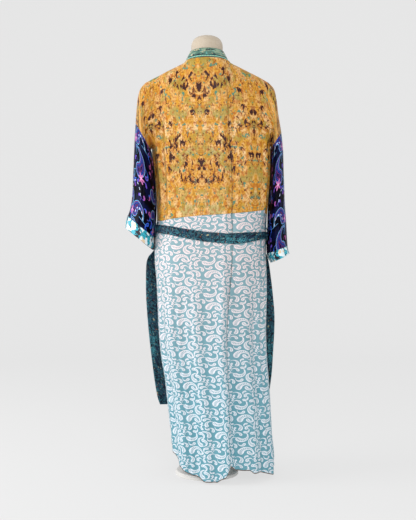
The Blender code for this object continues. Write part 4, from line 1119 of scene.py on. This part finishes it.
formCover = finishMesh("dressForm", bm, linenCover())
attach(formCover, "root")
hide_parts("form_torso")
for node, material in (("form_pole", brushedTube()), ("form_base", lacqueredSteel())):
    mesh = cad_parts[node].data
    mesh.materials.clear()
    mesh.materials.append(material)
print("the dress form is made")

# the floor: a seamless sweep all round, which glows a little so that it stays even
room = {"radius": 4.4, "bend": 1.2, "bendSteps": 12, "height": 6.0, "glow": 0.655, "shade": "#6A6A6A"}
bm = bmesh.new()
profile = [(0.0, 0.0), (room["radius"] - room["bend"], 0.0)]
for k in range(1, room["bendSteps"] + 1):
    angle = math.radians(90 * k / room["bendSteps"])
    inwards, up = room["bend"] * (1 - math.sin(angle)), room["bend"] * (1 - math.cos(angle))
    profile.append((room["radius"] - inwards, up))
profile.append((room["radius"], room["height"]))
line = [bm.verts.new((x, 0.0, z)) for x, z in profile]
edges = [bm.edges.new(pair) for pair in zip(line, line[1:])]
bmesh.ops.spin(bm, geom=line + edges, cent=(0, 0, 0), axis=(0, 0, 1), angle=2 * math.pi, steps=96)
bmesh.ops.remove_doubles(bm, verts=bm.verts, dist=0.0001)
bmesh.ops.recalc_face_normals(bm, faces=bm.faces)
bmesh.ops.reverse_faces(bm, faces=bm.faces)
material, tree, shader = newMaterial("paperFloor", {
    "Roughness": 0.95, "Specular IOR Level": 0.0, "Base Color": colour(room["shade"], 1.0),
    "Emission Color": (1.0, 1.0, 1.0, 1.0), "Emission Strength": room["glow"],
})
finishMesh("floor", bm, material)

# an even sky, and for each light its place, what it is aimed at, size in metres and watts
studio = {
    "sky": 0.70,
    "sideLight": ((2.6, 0.55, 1.35), (0.0, 0.0, 0.70), 1.5, 62.0),
    "frontLight": ((-0.2, 3.2, 1.9), (0.0, 0.0, 0.75), 1.6, 64.0),
}
sky = bpy.data.worlds.new("studio")
sky.use_nodes = True
sky.node_tree.nodes["Background"].inputs["Color"].default_value = (1.0, 1.0, 1.0, 1.0)
sky.node_tree.nodes["Background"].inputs["Strength"].default_value = studio["sky"]
bpy.context.scene.world = sky
for name in ("sideLight", "frontLight"):
    place, aim, size, power = studio[name]
    data = bpy.data.lights.new(name, "AREA")
    data.size, data.energy = size, power
    light = bpy.data.objects.new(name, data)
    light.location = place
    light.rotation_euler = (Vector(aim) - Vector(place)).to_track_quat("-Z", "Y").to_euler()
    bpy.context.scene.collection.objects.link(light)

# level behind the robe, at half its height, as the photo was taken
view = {"place": (-0.0031, 2.6, 0.66), "turn": (90, 0, 180), "lens": 58.06, "sensor": 36.0}
lens = bpy.data.cameras.new("camera")
lens.lens, lens.sensor_width = view["lens"], view["sensor"]
camera = bpy.data.objects.new("camera", lens)
camera.location = view["place"]
camera.rotation_euler = [math.radians(turn) for turn in view["turn"]]
bpy.context.scene.collection.objects.link(camera)
bpy.context.scene.camera = camera
bpy.context.scene.view_settings.view_transform = "Standard"
